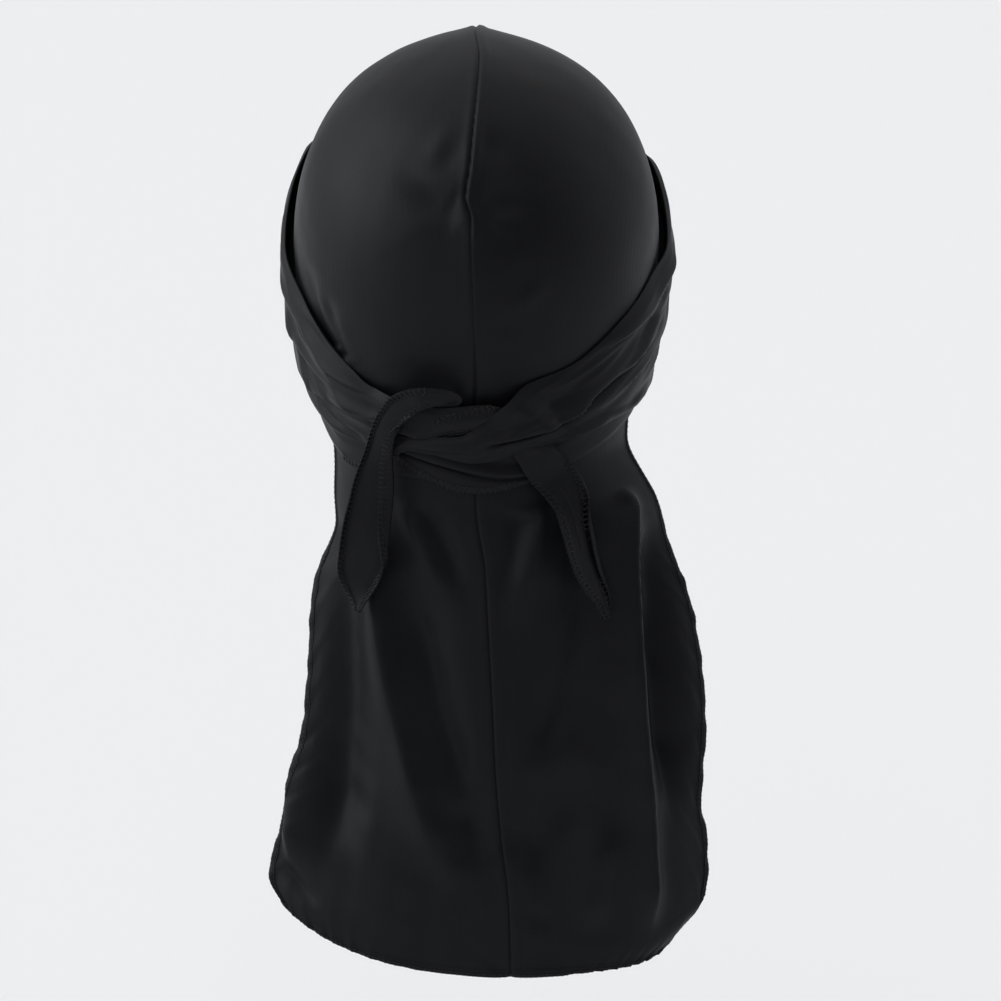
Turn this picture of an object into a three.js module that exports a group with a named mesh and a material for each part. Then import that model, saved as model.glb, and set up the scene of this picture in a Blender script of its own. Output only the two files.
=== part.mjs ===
// Durag tied on a head. Millimetres, +Z up, the wearer looks along -Y, the wearer's left is +X.
// The origin is the top of the head, inside the crown.
import * as THREE from "three";

// ---------------------------------------------------------------- sizes
const PANEL_WALL = 1.2; // cloth of the two panels with its loft
const STRAP_WALL = 1.0; // cloth of the straps
const LAYER_GAP = 0.5; // air between two layers of strap
const SEAM_GAP = 0.3; // between the two panels along the centre seam
const SEAM_TURN = 2.6; // depth of the turned-in seam allowance below the panel's inside
const EQUATOR_Z = -88; // height of the widest ring of the head, below the tables' zero
const DOME_TOP = -4.3; // top of the head below the tables' zero, which is the origin of the part
const HEAD_ROUND = 2.2; // roundness of the head seen from above, 2 is an ellipse
const DOME_ROUND = 2.22; // roundness of the dome seen from the side
const KEEL_HIGH = 4.6; // the centre seam stands off the head as a keel
const KEEL_WIDE = 15; // distance over which the keel falls away
const PANEL_COLUMNS = 12;
const PANEL_STEPS = 44;
const STRAP_COLUMNS = 5;
const LEFT = 1;
const RIGHT = -1;

// Rings of the head and, below it, of the hanging cloth, from the top down: half width on the
// wearer's left and right, depth behind and before.
const HEAD = [
  { z: -88, left: 74.9, right: 74.9, back: 97.0, front: 95.0 },
  { z: -96, left: 74.6, right: 74.6, back: 96.6, front: 95.2 },
  { z: -106, left: 73.6, right: 73.6, back: 95.4, front: 95.0 },
  { z: -120, left: 71.2, right: 71.2, back: 92.4, front: 94.0 },
  { z: -135, left: 68.2, right: 68.4, back: 88.2, front: 92.0 },
  { z: -150, left: 65.0, right: 65.8, back: 84.6, front: 90.0 },
  { z: -165, left: 62.0, right: 65.5, back: 82.6, front: 88.0 },
  { z: -180, left: 61.0, right: 70.0, back: 82.4, front: 86.0 },
  { z: -200, left: 63.0, right: 79.0, back: 84.8, front: 86.0 },
  { z: -240, left: 70.0, right: 92.0, back: 89.0, front: 86.0 },
];

// The crown's sections. seam: angle of the seam point about the head's centre, from the forehead
// (0) over the top (90) to the back (180). edge: azimuth of the panel's outer edge from the
// forehead and its height.
const CROWN = [
  { name: "forehead", seam: 14, edge: 52, z: -84 },
  { name: "hairline", seam: 34, edge: 60, z: -89 },
  { name: "front_top", seam: 58, edge: 70, z: -95 },
  { name: "top", seam: 86, edge: 82, z: -101 },
  { name: "back_top", seam: 114, edge: 93, z: -106 },
  { name: "behind_ear", seam: 142, edge: 102, z: -112 },
  { name: "occiput", seam: 172, edge: 110, z: -123 },
  { name: "under_strap", seam: 199, edge: 115, z: -138 },
  { name: "strap_low", seam: 217.1, edge: 118, z: -152 },
];

// The tail's sections from under the straps to the hem: the seam's point, then the outer edge of
// the left and of the right half. bow: how strongly the section curves round the neck. lLow and
// rLow: how the edge height is reached, 1 is a straight slope, more keeps it for the corner.
const TAIL = [
  { name: "root", sx: 0, sy: 84.4, sz: -152, lx: 60, ly: 32, lz: -152, rx: 60, ry: 32, rz: -152, bow: 84, lLow: 1, rLow: 1 },
  { name: "neck", sx: -1, sy: 82.4, sz: -178, lx: 58.5, ly: 36, lz: -178, rx: 70, ry: 40, rz: -178, bow: 80, lLow: 1, rLow: 1 },
  { name: "upper", sx: -3.5, sy: 85, sz: -204, lx: 57, ly: 42, lz: -204, rx: 80, ry: 46, rz: -204, bow: 76, lLow: 1, rLow: 1 },
  { name: "shoulder", sx: -5, sy: 88, sz: -232, lx: 60.5, ly: 49, lz: -232, rx: 89, ry: 51, rz: -232, bow: 72, lLow: 1, rLow: 1 },
  { name: "middle", sx: -6.5, sy: 91, sz: -260, lx: 63, ly: 55, lz: -260, rx: 94, ry: 56, rz: -260, bow: 70, lLow: 1, rLow: 1 },
  { name: "lower", sx: -7.8, sy: 94, sz: -289, lx: 66, ly: 58, lz: -288, rx: 95, ry: 60, rz: -288, bow: 68, lLow: 1, rLow: 1 },
  { name: "waist", sx: -10, sy: 96.5, sz: -316, lx: 73.5, ly: 61, lz: -311, rx: 93, ry: 63, rz: -312, bow: 66, lLow: 1.3, rLow: 1.3 },
  { name: "flare", sx: -13, sy: 98.5, sz: -342, lx: 82.5, ly: 64, lz: -331, rx: 96, ry: 66, rz: -333, bow: 64, lLow: 1.7, rLow: 2.2 },
  { name: "above_hem", sx: -13.8, sy: 99.6, sz: -362, lx: 86, ly: 68, lz: -344, rx: 94.5, ry: 70, rz: -350, bow: 62, lLow: 2, rLow: 5 },
  { name: "hem", sx: -14, sy: 100, sz: -375.6, lx: 80, ly: 75, lz: -355, rx: 80, ry: 76, rz: -368, bow: 60, lLow: 2.2, rLow: 9 },
];

// Folds of the panels as seen from behind: three points of a curve (x, z), the half width and the
// height outward (a valley is negative). fadeIn and fadeOut: share of the length over which it
// rises and dies away.
const FOLDS = [
  { name: "crown_pucker_left", x0: 28, z0: -56, x1: 14, z1: -62, x2: 2, z2: -66, wide: 9, high: -1.8, fadeIn: 0.5, fadeOut: 0.3 },
  { name: "crown_pucker_right", x0: -4, z0: -67, x1: -16, z1: -66, x2: -32, z2: -60, wide: 9, high: -1.3, fadeIn: 0.3, fadeOut: 0.5 },
  { name: "tuck_outer", x0: 70, z0: -90, x1: 67, z1: -108, x2: 59, z2: -124, wide: 6, high: -2.2, fadeIn: 0.5, fadeOut: 0.1 },
  { name: "tuck_inner", x0: 60, z0: -98, x1: 59, z1: -112, x2: 56, z2: -126, wide: 6, high: -2.0, fadeIn: 0.5, fadeOut: 0.1 },
  { name: "left_outer_ridge", x0: 57, z0: -190, x1: 64, z1: -250, x2: 77, z2: -338, wide: 11, high: 6.5, fadeIn: 0.25, fadeOut: 0.2 },
  { name: "left_valley", x0: 50, z0: -200, x1: 48, z1: -260, x2: 56, z2: -340, wide: 12, high: -5.5, fadeIn: 0.3, fadeOut: 0.3 },
  { name: "left_second_ridge", x0: 40, z0: -195, x1: 37, z1: -250, x2: 16, z2: -316, wide: 12, high: 6.0, fadeIn: 0.3, fadeOut: 0.3 },
  { name: "left_inner_valley", x0: 20, z0: -205, x1: 8, z1: -235, x2: -1, z2: -275, wide: 9, high: -4.0, fadeIn: 0.3, fadeOut: 0.3 },
  { name: "left_low_valley", x0: 10, z0: -285, x1: 2, z1: -305, x2: -6, z2: -325, wide: 11, high: -4.0, fadeIn: 0.4, fadeOut: 0.4 },
  { name: "right_ridge", x0: -59, z0: -165, x1: -64, z1: -240, x2: -72, z2: -365, wide: 9, high: 8.0, fadeIn: 0.15, fadeOut: 0.1 },
  { name: "right_hollow", x0: -68, z0: -200, x1: -76, z1: -250, x2: -84, z2: -330, wide: 10, high: -7.0, fadeIn: 0.3, fadeOut: 0.3 },
  { name: "right_inner_valley", x0: -46, z0: -200, x1: -40, z1: -250, x2: -22, z2: -288, wide: 11, high: -5.0, fadeIn: 0.3, fadeOut: 0.3 },
  { name: "right_low_hollow", x0: -50, z0: -285, x1: -34, z1: -318, x2: -14, z2: -330, wide: 16, high: -6.0, fadeIn: 0.4, fadeOut: 0.3 },
];

// Straps. turn: azimuth of the section from the back of the head, growing toward the wearer's
// left, so one round is 360. top, low: heights of the two edges. layer: how many layers up from
// the panel the section lies.
const LEFT_STRAP_ROUND = [
  { name: "temple_root", turn: 128, top: -62, low: -106, layer: 1 },
  { name: "over_ear", turn: 110, top: -68, low: -120, layer: 1 },
  { name: "side", turn: 90, top: -86, low: -133, layer: 1 },
  { name: "behind_ear", turn: 70, top: -109, low: -142, layer: 1 },
  { name: "narrowed", turn: 47, top: -128, low: -149, layer: 1 },
  { name: "above_other", turn: 40, top: -131, low: -150, layer: 1.5 },
  { name: "above_other_end", turn: 33, top: -134, low: -152, layer: 2 },
  { name: "over_other", turn: 24, top: -137, low: -161, layer: 2 },
  { name: "nape", turn: 0, top: -147, low: -176, layer: 2 },
  { name: "nape_right", turn: -28, top: -141, low: -166, layer: 2 },
  { name: "back_right", turn: -46, top: -129, low: -158, layer: 2 },
  { name: "behind_right_ear", turn: -68, top: -110, low: -149, layer: 2 },
  { name: "right_side", turn: -90, top: -88, low: -138, layer: 2 },
  { name: "right_temple", turn: -115, top: -62, low: -112, layer: 2 },
  { name: "brow_right", turn: -138, top: -45, low: -82, layer: 2 },
  { name: "above_at_brow", turn: -149, top: -39, low: -67, layer: 2 },
  { name: "above_at_brow_end", turn: -159, top: -39, low: -67, layer: 3 },
  { name: "brow_crossing", turn: -167, top: -41, low: -74, layer: 3 },
  { name: "brow", turn: -180, top: -44, low: -82, layer: 3 },
  { name: "brow_left", turn: -215, top: -50, low: -93, layer: 3 },
  { name: "left_temple", turn: -246, top: -52, low: -108, layer: 3 },
  { name: "left_side", turn: -270, top: -76, low: -131, layer: 3 },
  { name: "left_behind_ear", turn: -290, top: -95, low: -144, layer: 3 },
  { name: "left_back", turn: -307, top: -110, low: -150.5, layer: 3 },
  { name: "left_back_in", turn: -320, top: -123, low: -156, layer: 3.6 },
  { name: "to_knot", turn: -332, top: -133, low: -158.5, layer: 4 },
];
const RIGHT_STRAP_ROUND = [
  { name: "temple_root", turn: -128, top: -62, low: -106, layer: 1 },
  { name: "over_ear", turn: -110, top: -68, low: -120, layer: 1 },
  { name: "side", turn: -90, top: -86, low: -133, layer: 1 },
  { name: "behind_ear", turn: -70, top: -109, low: -142, layer: 1 },
  { name: "back", turn: -46, top: -129, low: -154, layer: 1 },
  { name: "nape", turn: 0, top: -146, low: -171, layer: 1 },
  { name: "under_other", turn: 24, top: -151, low: -171, layer: 1 },
  { name: "below_other", turn: 33, top: -153.5, low: -171, layer: 1 },
  { name: "below_other_end", turn: 40, top: -153.5, low: -171, layer: 1.5 },
  { name: "past_other", turn: 47, top: -151.5, low: -168, layer: 2 },
  { name: "behind_left_ear", turn: 64, top: -130, low: -158, layer: 2 },
  { name: "left_ear", turn: 78, top: -106, low: -150, layer: 2 },
  { name: "left_side", turn: 90, top: -91, low: -143, layer: 2 },
  { name: "left_temple", turn: 115, top: -64, low: -116, layer: 2 },
  { name: "brow_left", turn: 145, top: -50, low: -92, layer: 2 },
  { name: "brow", turn: 180, top: -54, low: -88, layer: 2 },
  { name: "brow_crossing", turn: 192, top: -67, low: -93, layer: 2 },
  { name: "below_at_brow", turn: 200, top: -72.5, low: -98, layer: 2 },
  { name: "below_at_brow_end", turn: 211, top: -72.5, low: -102, layer: 3 },
  { name: "brow_right", turn: 224, top: -62, low: -106, layer: 3 },
  { name: "right_temple", turn: 248, top: -57, low: -118, layer: 3 },
  { name: "right_side", turn: 270, top: -76, low: -136, layer: 3 },
  { name: "right_ear", turn: 284, top: -87, low: -143, layer: 3 },
  { name: "right_behind_ear", turn: 301, top: -96, low: -147, layer: 3 },
  { name: "right_back", turn: 318, top: -109, low: -149, layer: 4 },
  { name: "right_back_in", turn: 333, top: -123, low: -151.5, layer: 5 },
];

// The knot and the free ends: middle of the section (x, z), the direction of its width as an
// angle (0 toward +X, 90 up), the width and the layer, counted from the panel.
const LEFT_STRAP_KNOT = [
  { name: "knot_in", x: 31, z: -146.5, across: 90, wide: 22, layer: 4 },
  { name: "knot_upper", x: 18, z: -147, across: 92, wide: 17, layer: 4 },
  { name: "knot_middle", x: 8, z: -144.8, across: 95, wide: 13.5, layer: 4 },
  { name: "knot_thin", x: -4, z: -143.6, across: 96, wide: 13, layer: 4 },
  { name: "knot_turn", x: -15, z: -148.5, across: 118, wide: 13, layer: 4 },
  { name: "knot_out", x: -22.5, z: -157.5, across: 142, wide: 13.5, layer: 4 },
  { name: "end_top", x: -29.5, z: -167, across: 148, wide: 16, layer: 5.3 },
  { name: "end_upper", x: -36.5, z: -179, across: 160, wide: 13, layer: 6.3 },
  { name: "end_middle", x: -40, z: -195, across: 164, wide: 12.5, layer: 6.6 },
  { name: "end_lower", x: -45, z: -211, across: 158, wide: 10.5, layer: 6.6 },
  { name: "end_low", x: -49.5, z: -220, across: 155, wide: 6.5, layer: 6.6 },
  { name: "tip", x: -53, z: -228.5, across: 155, wide: 2.4, layer: 6.6 },
];
const RIGHT_STRAP_KNOT = [
  { name: "front_right", x: -17, z: -145, across: -97, wide: 22.5, layer: 5 },
  { name: "front_middle", x: -5, z: -148.5, across: -104, wide: 17, layer: 5.1 },
  { name: "front_left", x: 5, z: -151.5, across: -128, wide: 11.5, layer: 5.1 },
  { name: "turn_down", x: 11, z: -154.6, across: -160, wide: 9.5, layer: 5.1 },
  { name: "turn_edge", x: 12.5, z: -158.2, across: -178, wide: 9, layer: 4.9 },
  { name: "turn_low", x: 12.5, z: -160.2, across: -180, wide: 9, layer: 3.95 },
  { name: "turn_in", x: 12.2, z: -158, across: -182, wide: 9, layer: 3 },
  { name: "behind_low", x: 10.5, z: -150, across: -188, wide: 9, layer: 3 },
  { name: "behind_high", x: 7, z: -141, across: -200, wide: 8.5, layer: 3.1 },
  { name: "turn_up", x: 5, z: -135, across: -222, wide: 8, layer: 3.3 },
  { name: "over_top", x: 9, z: -132.4, across: -262, wide: 7.5, layer: 4.8 },
  { name: "end_root", x: 20, z: -132.6, across: -276, wide: 9, layer: 6.5 },
  { name: "end_bend", x: 31, z: -135.8, across: -294, wide: 12, layer: 6.8 },
  { name: "end_top", x: 38.5, z: -144, across: -325, wide: 13, layer: 6.5 },
  { name: "end_upper", x: 42.6, z: -157, across: -348, wide: 14, layer: 6.5 },
  { name: "end_middle", x: 43.8, z: -174, across: -356, wide: 17.5, layer: 7.4 },
  { name: "end_lower", x: 45.2, z: -192, across: -358, wide: 21, layer: 7.8 },
  { name: "end_wide", x: 46, z: -206, across: -360, wide: 21, layer: 7.8 },
  { name: "end_low", x: 46.8, z: -217, across: -362, wide: 13, layer: 7.8 },
  { name: "tip", x: 47.6, z: -227, across: -362, wide: 2.4, layer: 7.8 },
];

// ---------------------------------------------------------------- helpers
const rad = (deg) => (deg * Math.PI) / 180;
const clamp01 = (t) => Math.min(1, Math.max(0, t));
const smooth = (t) => {
  const c = clamp01(t);
  return c * c * (3 - 2 * c);
};

// A smooth curve through the rows of a table, without overshoot: value of one column at a place
// given in another (keys must rise).
function along(keys, values, at) {
  const n = keys.length;
  if (at <= keys[0]) return values[0];
  if (at >= keys[n - 1]) return values[n - 1];
  let i = 0;
  while (keys[i + 1] < at) i += 1;
  const slope = (k) => {
    if (k <= 0 || k >= n - 1) {
      const a = k <= 0 ? 0 : n - 2;
      return (values[a + 1] - values[a]) / (keys[a + 1] - keys[a]);
    }
    const h0 = keys[k] - keys[k - 1];
    const h1 = keys[k + 1] - keys[k];
    const d0 = (values[k] - values[k - 1]) / h0;
    const d1 = (values[k + 1] - values[k]) / h1;
    if (d0 * d1 <= 0) return 0;
    const limit = 3 * Math.min(Math.abs(d0), Math.abs(d1));
    const m = (d0 * h1 + d1 * h0) / (h0 + h1);
    return Math.sign(m) * Math.min(Math.abs(m), limit);
  };
  const h = keys[i + 1] - keys[i];
  const t = (at - keys[i]) / h;
  const t2 = t * t;
  const t3 = t2 * t;
  return (
    (2 * t3 - 3 * t2 + 1) * values[i] +
    (t3 - 2 * t2 + t) * h * slope(i) +
    (-2 * t3 + 3 * t2) * values[i + 1] +
    (t3 - t2) * h * slope(i + 1)
  );
}
const column = (rows, name) => rows.map((row) => row[name]);

// ---------------------------------------------------------------- the head under the cloth
const HEAD_KEYS = column(HEAD, "z").map((z) => -z);
function ring(z) {
  if (z >= EQUATOR_Z) {
    const up = clamp01((z - EQUATOR_Z) / (DOME_TOP - EQUATOR_Z));
    const s = Math.max(1e-4, 1 - up ** DOME_ROUND) ** (1 / DOME_ROUND);
    const { left, right, back, front } = HEAD[0];
    return { left: left * s, right: right * s, back: back * s, front: front * s };
  }
  return {
    left: along(HEAD_KEYS, column(HEAD, "left"), -z),
    right: along(HEAD_KEYS, column(HEAD, "right"), -z),
    back: along(HEAD_KEYS, column(HEAD, "back"), -z),
    front: along(HEAD_KEYS, column(HEAD, "front"), -z),
  };
}
// Over 1 outside the head, under 1 inside.
function headLevel(x, y, z) {
  if (z >= EQUATOR_Z) {
    const depth = y > 0 ? HEAD[0].back : HEAD[0].front;
    const flat = (Math.abs(x) / HEAD[0].left) ** HEAD_ROUND + (Math.abs(y) / depth) ** HEAD_ROUND;
    return flat ** (DOME_ROUND / HEAD_ROUND) + (Math.abs(z - EQUATOR_Z) / (DOME_TOP - EQUATOR_Z)) ** DOME_ROUND;
  }
  const r = ring(z);
  const depth = y > 0 ? r.back : r.front;
  return (Math.abs(x) / (x > 0 ? r.left : r.right)) ** HEAD_ROUND + (Math.abs(y) / depth) ** HEAD_ROUND;
}
function headNormal(p) {
  const e = 0.05;
  return new THREE.Vector3(
    headLevel(p.x + e, p.y, p.z) - headLevel(p.x - e, p.y, p.z),
    headLevel(p.x, p.y + e, p.z) - headLevel(p.x, p.y - e, p.z),
    headLevel(p.x, p.y, p.z + e) - headLevel(p.x, p.y, p.z - e),
  ).normalize();
}
// The head's surface at an azimuth from the back (radians, toward +X) and a height.
function headAt(turn, z) {
  const r = ring(z);
  const s = Math.sin(turn);
  const c = Math.cos(turn);
  const depth = c > 0 ? r.back : r.front;
  const half = s > 0 ? r.left : r.right;
  const q = ((Math.abs(s) / half) ** HEAD_ROUND + (Math.abs(c) / depth) ** HEAD_ROUND) ** (-1 / HEAD_ROUND);
  return new THREE.Vector3(s * q, c * q, z);
}
// The head's surface in a direction from its centre.
function headToward(d) {
  let near = 10;
  let far = 260;
  for (let k = 0; k < 44; k += 1) {
    const mid = (near + far) / 2;
    if (headLevel(d.x * mid, d.y * mid, EQUATOR_Z + d.z * mid) > 1) far = mid;
    else near = mid;
  }
  return new THREE.Vector3(d.x * near, d.y * near, EQUATOR_Z + d.z * near);
}

// ---------------------------------------------------------------- folds
const bend = (a, b, c, t) => (1 - t) * (1 - t) * a + 2 * t * (1 - t) * b + t * t * c;
const FOLD_PATHS = FOLDS.map((f) => {
  const path = [];
  for (let k = 0; k <= 24; k += 1) {
    const t = k / 24;
    path.push([bend(f.x0, f.x1, f.x2, t), bend(f.z0, f.z1, f.z2, t), t]);
  }
  return path;
});
// Height of the folds at a place seen from behind. They die out under the straps and at the seam.
function foldHigh(x, y, z) {
  if (y < -12) return 0;
  let sum = 0;
  FOLDS.forEach((f, i) => {
    let best = 1e9;
    let at = 0;
    FOLD_PATHS[i].forEach(([px, pz, t]) => {
      const d = (px - x) ** 2 + (pz - z) ** 2;
      if (d < best) {
        best = d;
        at = t;
      }
    });
    const d = Math.sqrt(best) / f.wide;
    if (d < 2.6) {
      const reach = smooth(at / f.fadeIn) * smooth((1 - at) / f.fadeOut);
      sum += f.high * reach * Math.exp(-d * d);
    }
  });
  const held = 1 - smooth((z + 112) / -16) * smooth((-188 - z) / -16);
  const atSeam = 0.35 + 0.65 * smooth((Math.abs(x - seamX(z)) - 2) / 12);
  return sum * held * atSeam;
}
const TAIL_KEYS = column(TAIL, "sz").map((z) => -z);
function seamX(z) {
  return z > TAIL[0].sz ? 0 : along(TAIL_KEYS, column(TAIL, "sx"), -z);
}

// ---------------------------------------------------------------- the panels
const CROWN_KEYS = CROWN.map((row, i) => i);
// Inside face of the panel on the head: v runs over the rows of CROWN, u from the seam out. The
// sections are great circles on the dome and turn into level ones at the back of the head.
function crownPoint(side, v, u) {
  const seam = rad(along(CROWN_KEYS, column(CROWN, "seam"), v));
  const from = new THREE.Vector3(0, -Math.cos(seam), Math.sin(seam));
  const azimuth = side * (Math.PI - rad(along(CROWN_KEYS, column(CROWN, "edge"), v)));
  const edgeZ = along(CROWN_KEYS, column(CROWN, "z"), v);
  const edge = headAt(azimuth, edgeZ);
  const to = new THREE.Vector3(edge.x, edge.y, edge.z - EQUATOR_Z).normalize();
  const angle = from.angleTo(to);
  const a = Math.sin((1 - u) * angle) / Math.sin(angle);
  const b = Math.sin(u * angle) / Math.sin(angle);
  const seamPoint = headToward(from.clone());
  const d = from.multiplyScalar(a).add(to.multiplyScalar(b)).normalize();
  const p = headToward(d);
  const level = smooth((v - (CROWN.length - 4)) / 2.4);
  if (level > 0) {
    const q = headAt(azimuth * u, seamPoint.z + (edgeZ - seamPoint.z) * u);
    p.lerp(q, level);
  }
  return p;
}
function tailPoint(side, v, u) {
  const key = -along(TAIL.map((row, i) => i), column(TAIL, "sz"), v);
  const get = (name) => along(TAIL_KEYS, column(TAIL, name), key);
  const bow = rad(get("bow"));
  const across = Math.sin(bow * u) / Math.sin(bow);
  const round = (1 - Math.cos(bow * u)) / (1 - Math.cos(bow));
  const ex = side === LEFT ? get("lx") : -get("rx");
  const ey = side === LEFT ? get("ly") : get("ry");
  const ez = side === LEFT ? get("lz") : get("rz");
  const low = side === LEFT ? get("lLow") : get("rLow");
  const sx = get("sx");
  const z = -key + (ez + key) * u ** low;
  const p = new THREE.Vector3(sx + (ex - sx) * across, get("sy") + (ey - get("sy")) * round, z);
  const free = smooth((key - 174 + 14 * u) / 34); // the straps hold the cloth on the neck above this
  if (free < 1) p.lerp(headAt(Math.atan2(ex, ey) * u, z), 1 - free);
  return p;
}
// w runs 0..1 from the forehead edge to the hem.
const CROWN_SHARE = 0.53;
function panelBase(side, w, u) {
  if (w < CROWN_SHARE) return crownPoint(side, (w / CROWN_SHARE) * (CROWN.length - 1), u);
  return tailPoint(side, ((w - CROWN_SHARE) / (1 - CROWN_SHARE)) * (TAIL.length - 1), u);
}
function keel(x, y, z) {
  const off = Math.abs(x);
  const held = smooth((-z - 96) / 36);
  const front = smooth((y + 90) / 50);
  return KEEL_HIGH * Math.exp(-off / KEEL_WIDE) * (1 - held) * (0.1 + 0.9 * front);
}
function baseNormal(side, w, u) {
  const e = 0.004;
  const du = panelBase(side, w, Math.min(1, u + e)).sub(panelBase(side, w, Math.max(0, u - e)));
  const dw = panelBase(side, Math.min(1, w + e), u).sub(panelBase(side, Math.max(0, w - e), u));
  const n = du.cross(dw).normalize();
  return side === LEFT ? n : n.negate();
}
function panelFace(side, w, u, lift) {
  const p = panelBase(side, w, u);
  const n = baseNormal(side, w, u);
  if (u === 0) n.x = 0;
  n.normalize();
  const high = keel(p.x, p.y, p.z);
  p.addScaledVector(n, lift + high + foldHigh(p.x, p.y, p.z));
  return p;
}
function surfaceNormal(side, w, u) {
  const e = 0.006;
  const du = panelFace(side, w, Math.min(1, u + e), 0).sub(panelFace(side, w, Math.max(0, u - e), 0));
  const dw = panelFace(side, Math.min(1, w + e), u, 0).sub(panelFace(side, Math.max(0, w - e), u, 0));
  const n = du.cross(dw).normalize();
  return side === LEFT ? n : n.negate();
}

// A body from rings of points: the rings are joined in turn and both ends are closed.
// The first half of a ring is the outer face, the second half the inner one.
function bodyFromRings(name, rings, caps, colour) {
  const k = rings[0].length;
  const points = [];
  rings.forEach((r) => r.forEach((p) => points.push(p.x, p.y, p.z - DOME_TOP)));
  const faces = [];
  for (let i = 0; i + 1 < rings.length; i += 1) {
    for (let j = 0; j < k; j += 1) {
      const a = i * k + j;
      const b = i * k + ((j + 1) % k);
      if (j < k / 2 - 1) faces.push([a, b, b + k], [a, b + k, a + k]);
      else faces.push([a, b, a + k], [b, b + k, a + k]);
    }
  }
  const last = (rings.length - 1) * k;
  caps.forEach(([a, b, c]) => {
    faces.push([a, c, b]);
    faces.push([last + a, last + b, last + c]);
  });
  let volume = 0;
  const at = (i) => new THREE.Vector3(points[3 * i], points[3 * i + 1], points[3 * i + 2]);
  faces.forEach(([a, b, c]) => {
    volume += at(a).dot(at(b).cross(at(c))) / 6;
  });
  const index = [];
  faces.forEach(([a, b, c]) => (volume > 0 ? index.push(a, b, c) : index.push(a, c, b)));
  const geometry = new THREE.BufferGeometry();
  geometry.setAttribute("position", new THREE.Float32BufferAttribute(points, 3));
  geometry.setIndex(index);
  const mesh = new THREE.Mesh(geometry, new THREE.MeshStandardMaterial({ color: colour, roughness: 0.55 }));
  mesh.name = name;
  return mesh;
}

function panel(name, side, colour) {
  const rings = [];
  const m = PANEL_COLUMNS;
  for (let i = 0; i <= PANEL_STEPS; i += 1) {
    const w = i / PANEL_STEPS;
    const outer = [];
    const inner = [];
    for (let j = 0; j <= m; j += 1) {
      const u = j / m;
      const p = panelFace(side, w, u, PANEL_WALL);
      const n = surfaceNormal(side, w, u);
      if (j === 0) {
        n.x = 0;
        n.normalize();
        p.x += (side * SEAM_GAP) / 2;
      }
      outer.push(p);
      inner.push(p.clone().addScaledVector(n, -PANEL_WALL));
    }
    const n0 = surfaceNormal(side, w, 0);
    n0.x = 0;
    n0.normalize();
    const turnOut = outer[0].clone().addScaledVector(n0, -(PANEL_WALL + SEAM_TURN));
    const turnIn = turnOut.clone();
    turnIn.x += side * PANEL_WALL;
    const corner = inner[0].clone();
    corner.x += side * PANEL_WALL;
    rings.push([...outer, ...inner.slice(1).reverse(), corner, turnIn, turnOut]);
  }
  const k = 2 * m + 4;
  const caps = [];
  const innerAt = (j) => 2 * m + 1 - j; // j = 1..m
  for (let j = 1; j < m; j += 1) {
    caps.push([j, j + 1, innerAt(j + 1)], [j, innerAt(j + 1), innerAt(j)]);
  }
  const corner = 2 * m + 1;
  caps.push([0, 1, innerAt(1)], [0, innerAt(1), corner]);
  caps.push([0, corner, corner + 1], [0, corner + 1, k - 1]);
  return bodyFromRings(name, rings, caps, colour);
}

// ---------------------------------------------------------------- the straps
const layerOff = (layer) => PANEL_WALL + LAYER_GAP + STRAP_WALL / 2 + (layer - 1) * (STRAP_WALL + LAYER_GAP);
function turnAt(x, z) {
  const r = ring(z);
  const s = Math.min(0.999, Math.abs(x) / (x > 0 ? r.left : r.right));
  const y = r.back * (1 - s ** HEAD_ROUND) ** (1 / HEAD_ROUND);
  return Math.atan2(x, y); // of the ring's point at this x
}
// Rows of both tables as sections: middle (azimuth in radians, height), width vector, standoff.
function strapRows(round, knot, heading) {
  const rows = round.map((row) => ({
    turn: rad(row.turn),
    z: (row.top + row.low) / 2,
    wt: 0,
    wz: heading > 0 ? row.low - row.top : row.top - row.low,
    off: layerOff(row.layer),
  }));
  const full = heading > 0 ? 2 * Math.PI : -2 * Math.PI;
  knot.forEach((row) => {
    let turn = turnAt(row.x, row.z);
    let p = headAt(turn, row.z);
    for (let k = 0; k < 6; k += 1) {
      turn = turnAt(row.x - layerOff(row.layer) * headNormal(p).x, row.z);
      p = headAt(turn, row.z);
    }
    const scale = Math.hypot(p.x, p.y);
    rows.push({
      turn: full + turn,
      z: row.z,
      wt: (Math.cos(rad(row.across)) * row.wide) / scale,
      wz: Math.sin(rad(row.across)) * row.wide,
      off: layerOff(row.layer),
    });
  });
  return rows;
}
function strapPoint(row, t, dome) {
  const turn = row.turn + row.wt * t;
  const z = row.z + row.wz * t;
  const p = headAt(turn, z);
  const n = headNormal(p);
  return p.addScaledVector(n, row.off + dome * (1 - 4 * t * t));
}
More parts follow.
